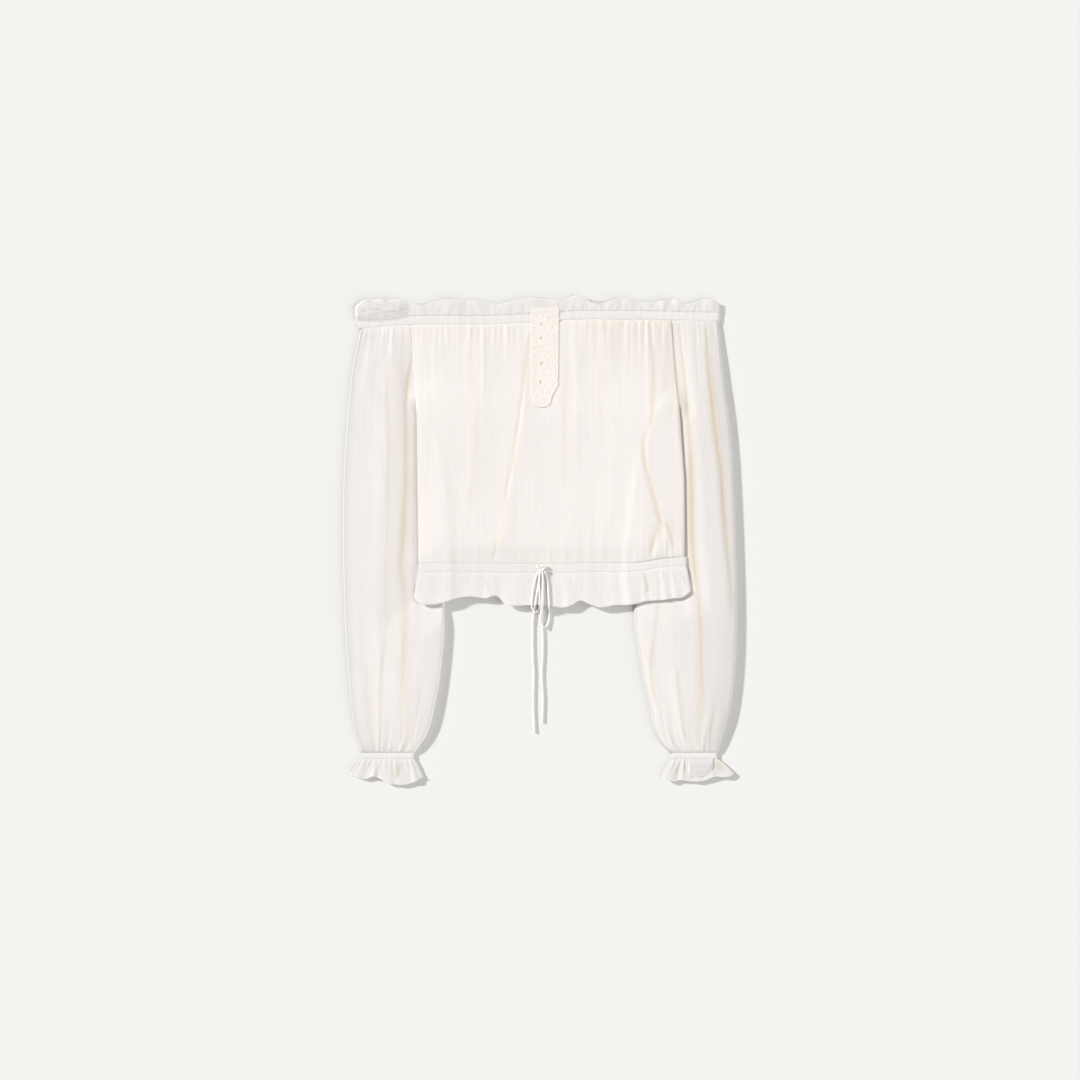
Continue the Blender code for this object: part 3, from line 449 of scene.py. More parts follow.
def clothFinish(name, light, deep, streak=0.08, weave=0.05):
    # Crinkled cloth: light, turned to a warm painted shade where the attribute deep says so, and greyer
    # where the second attribute does, for sheer cloth and for painted shade on lit edges; in long soft
    # streaks, with fine creases and a crepe grain as bump.
    made = bpy.data.materials.new(name)
    made.use_nodes = True
    nodes, links = made.node_tree.nodes, made.node_tree.links
    shader = nodes["Principled BSDF"]
    shader.inputs["Roughness"].default_value = crepe["rough"]
    shader.inputs["Specular IOR Level"].default_value = 0.2
    shader.inputs["Sheen Weight"].default_value = 0.08
    shader.inputs["Sheen Roughness"].default_value = 0.5
    shader.inputs["Subsurface Weight"].default_value = crepe["soft"]
    shader.inputs["Subsurface Radius"].default_value = (1.0, 0.8, 0.55)
    shader.inputs["Subsurface Scale"].default_value = 0.003

    place = nodes.new("ShaderNodeUVMap")
    place.uv_map = "cloth"
    noises = {}
    for key, (scale, detail) in crepe["noises"].items():
        size = nodes.new("ShaderNodeMapping")
        size.inputs["Scale"].default_value = scale
        noises[key] = nodes.new("ShaderNodeTexNoise")
        noises[key].inputs["Scale"].default_value = 1.0
        noises[key].inputs["Detail"].default_value = detail
        links.new(place.outputs["UV"], size.inputs["Vector"])
        links.new(size.outputs["Vector"], noises[key].inputs["Vector"])

    bumps = []
    for key, strength, distance in (("grain", 0.6, weave), ("creases", 0.8, streak)):
        bump = nodes.new("ShaderNodeBump")
        bump.inputs["Strength"].default_value = strength
        bump.inputs["Distance"].default_value = distance * mm
        links.new(noises[key].outputs["Fac"], bump.inputs["Height"])
        bumps.append(bump)
    links.new(bumps[0].outputs["Normal"], bumps[1].inputs["Normal"])
    links.new(bumps[1].outputs["Normal"], shader.inputs["Normal"])

    colour = None
    # mix in the grey of sheer cloth and of painted shade on lit edges, then the warm painted shade of folds
    for attribute, toward in (("sheerAndShade", crepe["sheerAndShade"]), ("deep", deep)):
        read = nodes.new("ShaderNodeAttribute")
        read.attribute_name = attribute
        mixed = nodes.new("ShaderNodeMix")
        mixed.data_type = "RGBA"
        mixed.inputs["B"].default_value = (*toward, 1)
        links.new(read.outputs["Fac"], mixed.inputs["Factor"])
        if colour:
            links.new(colour.outputs["Result"], mixed.inputs["A"])
        else:
            mixed.inputs["A"].default_value = (*light, 1)
        colour = mixed
    # the crease noise darkens the colour in the hollows of its own bump, a painted shade; the band noise is
    # an uneven tone of the cloth
    for key, amount in (("creases", crepe["streakToneAndShade"]), ("bands", 1.3 * crepe["streakToneAndShade"])):
        vary = nodes.new("ShaderNodeMapRange")
        vary.inputs["From Min"].default_value = 0.32
        vary.inputs["From Max"].default_value = 0.68
        vary.inputs["To Min"].default_value = 1 - amount
        vary.inputs["To Max"].default_value = 1.0
        links.new(noises[key].outputs["Fac"], vary.inputs["Value"])
        shaded = nodes.new("ShaderNodeMix")
        shaded.data_type = "RGBA"
        shaded.blend_type = "MULTIPLY"
        shaded.inputs["Factor"].default_value = 1.0
        links.new(colour.outputs["Result"], shaded.inputs["A"])
        links.new(vary.outputs["Result"], shaded.inputs["B"])
        colour = shaded
    links.new(colour.outputs["Result"], shader.inputs["Base Color"])
    return made


# each finish: the cloth's own colour, then the warm colour of the painted shade in its folds
finishes = {
    "body": clothFinish("bodyChiffon", (0.915, 0.855, 0.805), (0.74, 0.60, 0.43)),
    "sleeve": clothFinish("sleeveChiffon", (0.895, 0.84, 0.795), (0.72, 0.58, 0.41)),
    "frill": clothFinish("frillChiffon", (0.935, 0.875, 0.835), (0.68, 0.58, 0.45)),
    "band": clothFinish("casingCloth", (0.865, 0.83, 0.785), (0.76, 0.69, 0.60)),
    "lace": clothFinish("laceThread", (0.985, 0.93, 0.86), (0.80, 0.66, 0.46), streak=0.05, weave=0.1),
    "thread": clothFinish("whiteThread", (0.96, 0.925, 0.89), (0.86, 0.80, 0.72), streak=0.05, weave=0.08),
    "cord": clothFinish("tieCord", (0.96, 0.93, 0.90), (0.80, 0.76, 0.70), streak=0.05, weave=0.08),
}


# body

def bodyPlaces(share, down):
    # share runs from the left edge to the right one, and down from the neck seam to the hem seam
    y = 272 - 299 * down + 0 * share        # a first guess, which the loop corrects
    for _ in range(3):
        left, right = bodyEdge(-1, y), bodyEdge(1, y)
        x = left + share * (right - left)
        y = neckSeam(x) + (hemSeam(x) - neckSeam(x)) * down
    return x, y


laceStrip = {
    "x": 6.0, "top": 290.5, "bottom": 166.5, "half": 18.5, "rise": 0.42, "step": 0.62,
    "left": ((166.5, -3), (168.5, -7.5), (173, -10.6), (184, -12), (210, -12.4), (290.5, -12.4)),
    "right": ((166.5, 6), (168.5, 11), (173, 14.2), (183, 16.5), (188, 20), (194, 23.2), (290.5, 24.2)),
}


def bodyBack(x, y):
    # underside of the back: shallow pleats beside the two casings, level in the middle
    fromNeck = neckSeam(x) - y
    fromHem = y - hemSeam(x)
    turn = straight(body["neckGathers"], x)
    wave = 0.5 + 0.5 * np.cos(math.pi * turn)
    neck = ramp(34, 14, fromNeck) * ramp(0, 9, fromNeck)
    hem = ramp(28, 12, fromHem) * ramp(0, 8, fromHem)
    return lift(x, y) + 0.7 * wave * (neck + hem)


def bodyFront(x, y, share):
    # top of the front: the back's top, plus a soft puff, folds, gathers from both casings and creases
    fromNeck = neckSeam(x) - y
    fromHem = y - hemSeam(x)
    fromSide = np.minimum(x - bodyEdge(-1, y), bodyEdge(1, y) - x)
    edge = 1 - (2 * share - 1) ** 6
    atSeam = ramp(0, 14, np.minimum(fromNeck, fromHem))
    underLace = np.exp(-(((x - laceStrip["x"]) / (laceStrip["half"] + 4)) ** 6))
    underLace = underLace * ramp(laceStrip["bottom"] - 25, laceStrip["bottom"], y)
    height = cloth["layer"] + cloth["seamPuff"] + curve(body["puff"], y) * edge
    height = height + 0.6 * foldHeight(frontFolds, x, y) * edge * atSeam * (1 - underLace)
    neckPlaces = placeOf(body["neckGathers"], np.arange(6, 32))
    hemPlaces = placeOf(body["hemGathers"], np.arange(0, 26))
    between = (neckPlaces[:-1] + neckPlaces[1:]) / 2
    neck = gatherHeight(neckPlaces, lambda at: 0.6 * curve(body["neckDepth"], at), 62, x, fromNeck, 3)
    neck = neck + 0.4 * gatherHeight(between, lambda at: curve(body["neckDepth"], at), 24, x, fromNeck, 9)
    hem = gatherHeight(hemPlaces, lambda at: 0.4 * curve(body["hemDepth"], at), 26, x, fromHem, 5)
    height = height + neck * (1 - 0.75 * underLace) + hem
    height = height + crinkle(x, y, 2) * (1 - 0.8 * underLace)
    height = height - creased(frontCreases + (armholeCrease,), x, y)[0] * atSeam
    rolled = np.sqrt(1 - np.clip(1 - fromSide / body["sideRound"], 0, 1) ** 2)
    rolled = np.maximum(rolled, ramp(cloth["underarmY"] - 6, cloth["underarmY"] + 6, y))
    tucked = 0.15 * (1 - ramp(0.4, 3.0, fromHem)) + 0.25 * (1 - ramp(0.2, 3.0, fromNeck))
    walls = 2 * cloth["wall"] * (0.5 + 0.5 * rolled)
    return frontLift(x, y) + walls + np.maximum(height, 0.1) * rolled - tucked


def makeBody():
    share = np.linspace(0, 1, body["grid"][0])[:, None]
    share = share - 0.010 * np.sin(2 * math.pi * share)     # a little closer at the sides
    down = np.linspace(0, 1, body["grid"][1])[None, :]
    down = down - 0.018 * np.sin(2 * math.pi * down)        # and at the two seams
    x, y = bodyPlaces(share, down)
    z = bodyFront(x, y, share)
    # painted shade: warm in the hollows of the front, along its creases, and between the ridges of the neck
    # gathers
    deep = 0.45 * (0.75 * hollows(z, 6, 4, 1.3) + 0.5 * hollows(z, 2, 1, 0.35))
    deep = np.maximum(deep, creased(frontCreases + (armholeCrease,), x, y)[1])
    deep = deep * (0.3 + 0.7 * ramp(0.5, 6, y - hemSeam(x)))
    fromNeck = neckSeam(x) - y
    ridge = z - blurred(z, 5, 0)
    near = curve(body["neckDepth"], x) / 2 * np.exp(-fromNeck / 45) * (1 + 0.5 * ramp(20, 110, x))
    deep = np.maximum(deep, np.clip(0.16 - ridge * 1.1, 0, 0.42) * near)
    # painted shade on the lit left edge of the body, below the underarm
    sheerAndShade = 0.9 * (1 - ramp(0.8, 3.4, x - bodyEdge(-1, y)))
    sheerAndShade = sheerAndShade * ramp(cloth["underarmY"] + 8, cloth["underarmY"], y)
    mesh = gridMesh("front", x, y, z, x, y, deep, sheerAndShade)
    front = piece("frontPanel", mesh, finishes["body"], cloth["shell"])
    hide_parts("front")

    share = np.linspace(0, 1, body["backGrid"][0])[:, None]
    down = np.linspace(0, 1, body["backGrid"][1])[None, :]
    x, y = bodyPlaces(share, down)
    z = bodyBack(x, y)
    # painted shade in the hollows of the back's underside
    mesh = gridMesh("back", x, y, z, x, y, 0.3 * hollows(-z, 3, 2, 0.6), upward=False)
    back = piece("backPanel", mesh, finishes["body"], cloth["shell"])
    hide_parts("back")
    return front, back


# tubes that lie flat

def flatTube(name, places, topOf, underOf, columns, below, stations, roundTop, finish, uvLength,
             roundUnder=3.0, deepWide=3, deepTall=2, paint=None, folded=0.45):
    # Closed section at each station: its top goes from the left edge to the right one, and its
    # underside back. Both leave the edges on quarter ellipses. places gives x, y, left and right;
    # roundTop may be a function of y that gives a radius for the left edge and one for the right.
    def layer(share, heightOf, radius):
        x, y, left, right = places(share[:, None], stations[None, :])
        height = heightOf(x, y, share[:, None])
        radii = radius(y) if callable(radius) else (radius, radius)
        curl = 1
        for inside, size in zip((x - left, right - x), radii):
            curl = curl * np.sqrt(1 - np.clip(1 - inside / size, 0, 1) ** 2)
        return x, y, height, curl

    share = (1 - np.cos(math.pi * np.linspace(0, 1, columns))) / 2
    share = 0.5 * share + 0.5 * np.linspace(0, 1, columns)
    x, y, top, curlTop = layer(share, topOf, roundTop)
    back = np.linspace(1, 0, below + 2)[1:-1]
    xLow, yLow, under, curlUnder = layer(back, underOf, roundUnder)
    edgeLeft = under[-1] * 0.6 + top[0] * 0.4
    edgeRight = under[0] * 0.6 + top[-1] * 0.4
    edge = edgeLeft + (edgeRight - edgeLeft) * share[:, None]
    z = edge + (top - edge) * curlTop
    edge = edgeLeft + (edgeRight - edgeLeft) * back[:, None]
    zLow = edge + (under - edge) * curlUnder
    # painted shade in the hollows of the top, its share set by folded
    broad, narrow = hollows(z, deepWide * 2, deepTall * 2, 1.3), hollows(z, deepWide, deepTall, 0.5)
    deep = folded * (0.75 * broad + 0.5 * narrow)
    # painted shade along the lit left edge
    sheerAndShade = 0.8 * (1 - ramp(0.8, 3.0, x - x[:1])) + 0 * deep
    if paint:
        painted, sheerAndShade = paint(x, y)
        deep = np.maximum(deep, painted)
    # painted shade in the hollows of the underside; the underside is half greyer all over
    deepLow = 0.3 * hollows(-zLow, 3, 2, 0.8)
    sheerAndShade, deep = np.concatenate([sheerAndShade, 0.5 + 0 * deepLow]), np.concatenate([deep, deepLow])
    x, y, z = np.concatenate([x, xLow]), np.concatenate([y, yLow]), np.concatenate([z, zLow])
    run = np.concatenate([[0], np.cumsum(np.hypot(*np.diff(np.stack([x[:, 0], z[:, 0]]), axis=1)))])
    u = run[:, None] + 0 * x
    v = np.broadcast_to(np.linspace(0, uvLength, x.shape[1])[None, :], x.shape)
    mesh = gridMesh(name, x, y, z, u, v, deep, sheerAndShade, wrap=True)
    return piece(name, mesh, finish, cloth["shell"])


def bodyHeight(side, x, y):
    # Height which a sleeve may have: low under the body and the hem frill, free a little beside them.
    under = cloth["underarmY"]
    aside = (x - bodyEdge(side, y)) * side - 6 * ramp(-22, -40, y)
    ahead = curve(frills["hem"]["edge"], x) - 1 - y
    armhole = (y - under) * 0.6
    beside = (aside + ahead + np.sqrt((aside - ahead) ** 2 + 8.0 ** 2)) / 2
    away = np.maximum(beside, armhole)
    within = ramp(-1.0, -2.2, aside) * ramp(under + 6, under + 4, y) * ramp(90, 110, y)
    reach = np.clip(away + 0.8, 0, None) * (1 - within)
    step, stepWidth, slope = sleeves[side]["beside"]
    return cloth["underBody"] - 0.15 + step * (1 - np.exp(-reach / stepWidth)) + slope * reach


def makeSleeve(side):
    make = sleeves[side]
    neckY, seamY = sleeves["neckY"], sleeves["top"] + cloth["seam"]
    under = cloth["underarmY"]

    def places(share, down):
        y = neckY + (seamY - neckY) * down + 0 * share
        for _ in range(3):
            inner, outer = sleeveInner(side, y), sleeveOuter(side, y)
            inner = inner - side * (cloth["seam"] + cloth["tuck"]) * ramp(under - 5, under + 5, y)
            inner = inner - side * 4.2 * ramp(under + 4, under - 3, y) * ramp(under - 60, under - 20, y)
            left, right = np.minimum(inner, outer), np.maximum(inner, outer)
            x = left + share * (right - left)
            top = neckSeam(x)
            y = top + (seamY - top) * down
        return x, y, left, right

    def top(x, y, share):
        fromNeck, fromCuff = neckSeam(x) - y, y - sleeves["top"]
        atSeam = ramp(0, 16, np.minimum(fromNeck, fromCuff))
        inner, outer = sleeveInner(side, y), sleeveOuter(side, y)
        across = np.clip((x - inner) / (outer - inner), 0, 1)
        cuffInner, cuffOuter = sleeveInner(side, sleeves["top"]), sleeveOuter(side, sleeves["top"])
        atCuff = cuffInner + across * (cuffOuter - cuffInner)
        neckInner, neckOuter = sleeveInner(side, neckY), sleeveOuter(side, neckY)
        atNeck = neckInner + across * (neckOuter - neckInner)
        neckPlaces = placeOf(body["neckGathers"], np.arange(*make["gathers"], 0.5))
        cuffPlaces = cuffInner + (cuffOuter - cuffInner) * (np.arange(16) + 0.5) / 16
        dome = (1 - (2 * across - 1) ** 2) ** 0.55
        height = curve(sleeves["puff"], y) * (0.42 + 0.58 * dome)
        for gathers in ((neckPlaces, lambda at: sleeves["neckDepth"], 50, atNeck, fromNeck, 11 + side),
                        (cuffPlaces, lambda at: sleeves["cuffDepth"], 42, atCuff, fromCuff, 21 + side)):
            height = height + gatherHeight(*gathers)
        height = height + 0.45 * foldHeight(make["folds"], x, y) * atSeam
        height = height + crinkle(across * 82, y, 6 + side)
        # down to the body's height at the armhole
        fromArmhole = np.abs(x - inner)
        above = ramp(under - 20, under + 8, y)
        joined = (1 - ramp(0, 24, fromArmhole)) * above
        raised = lift(inner - side * 3, y) * (1 - ramp(0, 16, fromArmhole))
        height = seamHeight + height * (1 - joined) + (raised - 0.25) * above * joined
        height = height - creased(make["creases"], x, y)[0] * atSeam
        if side > 0:
            height = height - creased([armholeCrease], x, y)[0] * atSeam
        height = np.maximum(height, 2.6) - 0.4 * (1 - ramp(0.5, 5, fromCuff))
        most = bodyHeight(side, x, y)
        soft = np.clip((height - most + 0.8) / 1.6, 0, 1)
        return np.where(height < most - 0.8, height, np.minimum(most, height - 0.8 * soft ** 2))

    def below(x, y, share):
        groove = 0.6 * (0.5 - 0.5 * np.cos(4 * math.pi * share))
        return groove * (ramp(40, 8, neckSeam(x) - y) + ramp(45, 8, y - sleeves["top"]))

    def paint(x, y):
        # painted shade along the creases
        shade = creased(make["creases"] + ((armholeCrease,) if side > 0 else ()), x, y)[1]
        fromLeft = x - np.minimum(sleeveInner(side, y), sleeveOuter(side, y))
        fromRight = np.maximum(sleeveInner(side, y), sleeveOuter(side, y)) - x
        # greyer cloth: on the left sleeve partly sheer cloth along its left side, with painted shade on the
        # lit left edge; on the right sleeve a slight grey all over, painted shade towards its right edge, and
        # painted shade on the lit left edge of its lower part
        if side < 0:
            sheerAndShade = 0.30 * (1 - ramp(3, 14, fromLeft)) + 0.20 * (1 - ramp(14, 48, fromLeft))
            sheerAndShade = sheerAndShade + 1.0 * (1 - ramp(1.4, 4.5, fromLeft))
        else:
            low = 1 - ramp(-90, -60, y)
            sheerAndShade = 0.16 + 0.16 * (1 - ramp(0, 46, fromRight)) + 0.25 * (1 - ramp(0, 5, fromRight))
            sheerAndShade = sheerAndShade * (1 - 0.7 * (1 - ramp(30, 60, fromLeft)) * low)
            sheerAndShade = sheerAndShade + 1.0 * (1 - ramp(1.4, 4.5, fromLeft)) * low
        return shade, sheerAndShade

    def radii(y):
        outer = sleeves["edge"] + 0 * y
        inner = outer + (0.5 - outer) * ramp(under - 10, under + 10, y)
        return (outer, inner) if side < 0 else (inner, outer)

    columns, stations = sleeves["grid"]
    made = flatTube(make["name"] + "Cloth", places, top, below, columns, sleeves["below"],
                    np.linspace(0, 1, stations), radii, finishes["sleeve"], neckY - sleeves["top"],
                    paint=paint, folded=0.2)
    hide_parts(make["name"])
    return made


# casings: a low tube with a ruche for each gather, drawn down at its two lines of stitches

def makeCasing(name, node, centre, left, right, half, ruches, seed, columns=560, rows=16):
    def places(share, down):
        x = left + share * (right - left) + 0 * down
        return x, centre(x) + half * (1 - 2 * down), left + 0 * x, right + 0 * x

    def top(x, y, share):
        down = (1 - (y - centre(x)) / half) / 2
        turn = straight(ruches, x)
        ruche = 0.5 + 0.5 * np.cos(2 * math.pi * turn)
        fine = 0.5 + 0.5 * np.cos(2 * math.pi * turn * 2.3 + 2.5 * uneven(x, y * 0.5, 26, seed))
        swell = np.sqrt(np.clip(np.sin(math.pi * np.clip(down, 0.02, 0.98)), 0, 1))
        relief = 0.12 + 0.22 * swell + (0.12 * ruche + 0.12 * fine) * (0.25 + 0.75 * swell)
        relief = relief - 0.50 * ramp(0.86, 1.0, down)
        return seamTop(x, y) + relief

    made = flatTube(name, places, top, lambda x, y, share: lift(x, y), columns, max(24, columns // 5),
                    np.linspace(0, 1, rows), 3.0, finishes["band"], 2 * half, deepWide=2, deepTall=1,
                    folded=0.3)
    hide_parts(node)
    return made


# frills

frills = {
    "neck": {
        "edge": ((-228, 292), (-221, 298), (-205, 300), (-183, 300), (-160, 296.5), (-149, 293.5),
                 (-124, 299), (-75, 298), (-50, 294.5), (-25, 301), (10, 301), (26, 300), (57, 302.5),
                 (61, 299), (104, 301.5), (122, 297), (150, 298), (170, 299.5), (181, 295), (205, 300),
                 (216, 299), (223, 295)),
        "backEdge": ((-228, 290), (-150, 296), (-20, 300), (-6, 304), (8, 303), (60, 300), (223, 294)),
        "waves": ((-228, 0), (-150, 3.5), (-20, 7), (60, 10), (223, 18)),
        "height": ((-228, 2.2), (-150, 1.6), (-40, 0.9), (20, 0.8), (80, 1.2), (223, 1.7)),
        "sheerAndShade": 0.34,
        "tuck": 0.3,        # how far the first row goes down under the casing
        "raised": 0.55,     # height of the underside
        "columns": 620,
        "creases": (
            (1.8, ((300, -146, 1.6, 0.4), (284, -141, 1.2, 0.3))),
            (1.8, ((302, -131, 1.4, 0.3), (282, -134, 1.6, 0.4))),
            (1.6, ((302, -108, 1.6, 0.2), (282, -106, 1.4, 0.3))),
            (1.6, ((302, -84, 1.6, 0.2), (282, -88, 1.4, 0.25))),
            (1.6, ((302, -52, 1.6, 0.35), (282, -56, 1.4, 0.2))),
            (1.6, ((304, 22, 1.6, 0.4), (284, 24, 1.2, 0.4))),
            (1.8, ((304, 58, 1.4, 0.5), (286, 59, 1.2, 0.4))),
            (1.8, ((304, 73, 1.6, 0.3), (286, 70, 1.4, 0.4))),
            (1.8, ((302, 99, 1.6, 0.3), (286, 103, 1.3, 0.4))),
            (1.8, ((300, 124, 1.6, 0.4), (286, 129, 1.4, 0.5))),
            (1.8, ((300, 155, 1.4, 0.4), (286, 154, 1.3, 0.5))),
            (1.8, ((300, 168, 1.4, 0.3), (286, 166, 1.3, 0.45))),
            (1.8, ((298, 188, 1.4, 0.4), (286, 187, 1.2, 0.5))),
            (1.8, ((300, 198, 1.4, 0.4), (286, 196, 1.2, 0.5))),
            (1.8, ((300, 209, 1.4, 0.4), (286, 207, 1.2, 0.5))),
        ),
    },
    "hem": {
        "edge": ((-156, -69), (-149, -75), (-136, -77), (-119, -74), (-105, -69.5), (-87, -67), (-69, -69),
                 (-51, -68), (-45, -75), (-35, -78), (-19, -78), (0, -77), (15, -79), (29, -80.5),
                 (40, -77), (50, -72), (60, -76), (74, -80.5), (91, -78), (119, -76), (130, -73),
                 (149, -71.5), (164, -69.5), (179, -66.5), (187, -59.5)),
        "backEdge": ((-156, -66), (-60, -66), (40, -74), (120, -71), (187, -57)),
        "waves": ((-156, 0), (-45, 4), (50, 8), (125, 11), (187, 16)),
        "height": ((-156, 0.6), (-45, 0.9), (40, 0.8), (125, 0.9), (187, 1.3)),
        "sheerAndShade": 0.16,
        "pleat": 0.22,      # height of the gathers at the casing, 0.5 where it isn't given
        "columns": 520,
        "creases": (
            (1.8, ((-34, 126, 1.4, 0.5), (-46, 130.5, 1.8, 0.6), (-58, 133, 2, 0.6), (-70, 126, 2, 0.4))),
            (1.2, ((-37, -74, 1.4, 0.2), (-56, -63, 2, 0.3), (-70, -58, 1.6, 0.2))),
            (1.4, ((-34, 152, 1.2, 0.35), (-50, 154, 1.6, 0.2))),
            (1.4, ((-34, 163, 1.2, 0.4), (-52, 168, 1.6, 0.3))),
            (1.4, ((-32, 142, 1.2, 0.4), (-46, 144, 1.4, 0.2))),
            (1.4, ((-34, 174, 1.2, 0.4), (-56, 181, 1.8, 0.4))),
            (1.0, ((-38, -120, 1.6, 0.15), (-66, -128, 2, 0.2))),
            (1.0, ((-38, -12, 1.6, 0.25), (-60, -16, 2, 0.2))),
            (1.0, ((-38, 48, 1.8, 0.12), (-70, 53, 2, 0.22))),
            (1.0, ((-38, 92, 1.8, 0.12), (-70, 88, 2, 0.18))),
        ),
    },
    "cuffLeft": {
        "edge": ((-235, -287), (-228, -290), (-216, -293), (-208, -290), (-198, -293), (-190, -298),
                 (-180, -300), (-165, -299.5), (-155, -296), (-145, -290)),
        "waves": ((-235, 0), (-145, 5)),
        "height": ((-235, 0.8), (-215, 1.4), (-180, 1.3), (-165, 1.8), (-145, 1.5)),
        "sheerAndShade": 0.30,
        "columns": 240,
        "creases": (
            (2.6, ((-268, -173.5, 2.0, 0.6), (-278, -174, 2.4, 0.8), (-289, -175, 2.6, 0.7),
                   (-300, -180, 1.8, 0.2))),
            (1.6, ((-268, -214, 1.2, 0.2), (-280, -216, 1.4, 0.35), (-292, -219, 1.4, 0.3))),
            (1.6, ((-270, -201, 1.0, 0.25), (-280, -203, 1.2, 0.2))),
            (1.6, ((-270, -187, 1.0, 0.2), (-290, -185, 1.6, 0.3))),
            (1.6, ((-268, -164, 1.0, 0.4), (-286, -160, 1.3, 0.3))),
            (1.4, ((-268, -157.5, 0.9, 0.4), (-280, -154, 1.2, 0.2))),
        ),
    },
    "cuffRight": {
        "edge": ((150, -290), (156, -294), (165, -296), (173, -294.5), (182, -295.5), (198, -296),
                 (206, -294), (214, -290.5), (227, -290.5), (235, -289.5), (240, -285)),
        "waves": ((150, 0), (240, 5)),
        "height": ((150, 1.4), (185, 1.2), (212, 1.2), (222, 0.6), (240, 1.5)),
        "sheerAndShade": 0.34,
        "columns": 240,
        "creases": (
            (2.4, ((-268, 171, 1.1, 0.4), (-278, 171, 1.4, 0.4), (-288, 169, 2.6, 0.6),
                   (-297, 168, 2, 0.3))),
            (2.4, ((-268, 180, 1.1, 0.3), (-280, 180.2, 1.5, 0.6), (-292, 181, 1.8, 0.6))),
            (2.6, ((-268, 219, 2.2, 0.5), (-276, 222, 4.2, 0.8), (-284, 223.5, 4.8, 0.9),
                   (-290, 224, 3, 0.3))),
            (1.6, ((-268, 162, 1.0, 0.3), (-282, 158, 1.4, 0.2))),
        ),
    },
}


def makeFrill(name, node, make, base, baseSides, ruches, seed):
    # from the casing's edge to its own edge: gathers fade out as the waves of the edge grow
    edge, columns = make["edge"], make["columns"]
    backEdge = make.get("backEdge", edge)
    first, last = edge[0][0], edge[-1][0]

    def placesOf(rim):
        def places(share, down):
            left = baseSides[0] + (first - baseSides[0]) * down ** 0.8 + 0 * share
            right = baseSides[1] + (last - baseSides[1]) * down ** 0.8 + 0 * share
            x = left + share * (right - left)
            atRim = first + share * (last - first)
            return x, base(x) + (curve(rim, atRim) - base(x)) * down, left, right
        return places

    def waved(share, down):
        atRim = first + share * (last - first)
        turn = straight(make["waves"], atRim) + 0.12 * np.sin(share * 23 + seed)
        wave = 0.5 - 0.5 * np.cos(2 * math.pi * turn)
        wave = wave ** 0.85 * (0.7 + 0.3 * np.sin(turn * 1.9 + seed))
        growth = down ** 0.8
        gathers = straight(ruches, baseSides[0] + share * (baseSides[1] - baseSides[0]))
        pleat = 0.5 + 0.5 * np.cos(2 * math.pi * gathers + 1.5 * down * np.sin(gathers * 1.3 + seed))
        finePleat = 0.5 + 0.5 * np.cos(2 * math.pi * gathers * 2.1 + seed)
        fade = np.exp(-(down * 1.9) ** 2)
        height = curve(make["height"], atRim) * wave * growth
        pleats = make.get("pleat", 0.5) * (0.9 * pleat + 0.35 * finePleat)
        height = height + pleats * fade * ramp(0, 0.12, down)
        fine = 1.3 * crinkle(share * (last - first), down * 30 + 7 * share, seed)
        return height + fine * ramp(0, 0.3, down)

    def topAt(x, y, share, down):
        lower = np.minimum(creased(make["creases"], x, y)[0], cloth["creaseLimit"])
        return seamTop(x, y) + waved(share, down) - lower

    down = np.linspace(0, 1, cloth["frillRows"])
    front, back = placesOf(edge), placesOf(backEdge)

    def places(share, stations):
        return front(share, stations) if share.shape[0] == columns else back(share, stations)

    def top(x, y, share):
        return topAt(x, y, share, down[None, :]) - make.get("tuck", 0) * (down[None, :] < 0.03)

    def under(x, y, share):
        atRim = first + share * (last - first)
        turn = straight(make["waves"], atRim)
        return lift(x, y) + make.get("raised", 0) + 0.4 * (0.5 - 0.5 * np.cos(math.pi * turn)) * down[None, :]

    def paint(x, y):
        # painted shade along the creases; greyer as sheer cloth all over, with painted shade on the lit left
        # end
        return creased(make["creases"], x, y)[1], make["sheerAndShade"] + 0.7 * (1 - ramp(0.8, 3.0, x - x[:1]))

    made = flatTube(name, places, top, under, columns, columns // 3, down, 2.5, finishes["frill"], 40,
                    paint=paint)
    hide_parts(node)
    share = np.linspace(0.004, 0.996, columns)
    x, y = front(share[:, None], np.array([[1.0]]))[:2]
    height = topAt(x, y, share[:, None], 1.0)
    rim = np.stack([x[:, 0], y[:, 0], height[:, 0]], 1)
    return made, rim


# turned parts: the rolled left end of the neck frill, and a lobe that lies on the right cuff frill

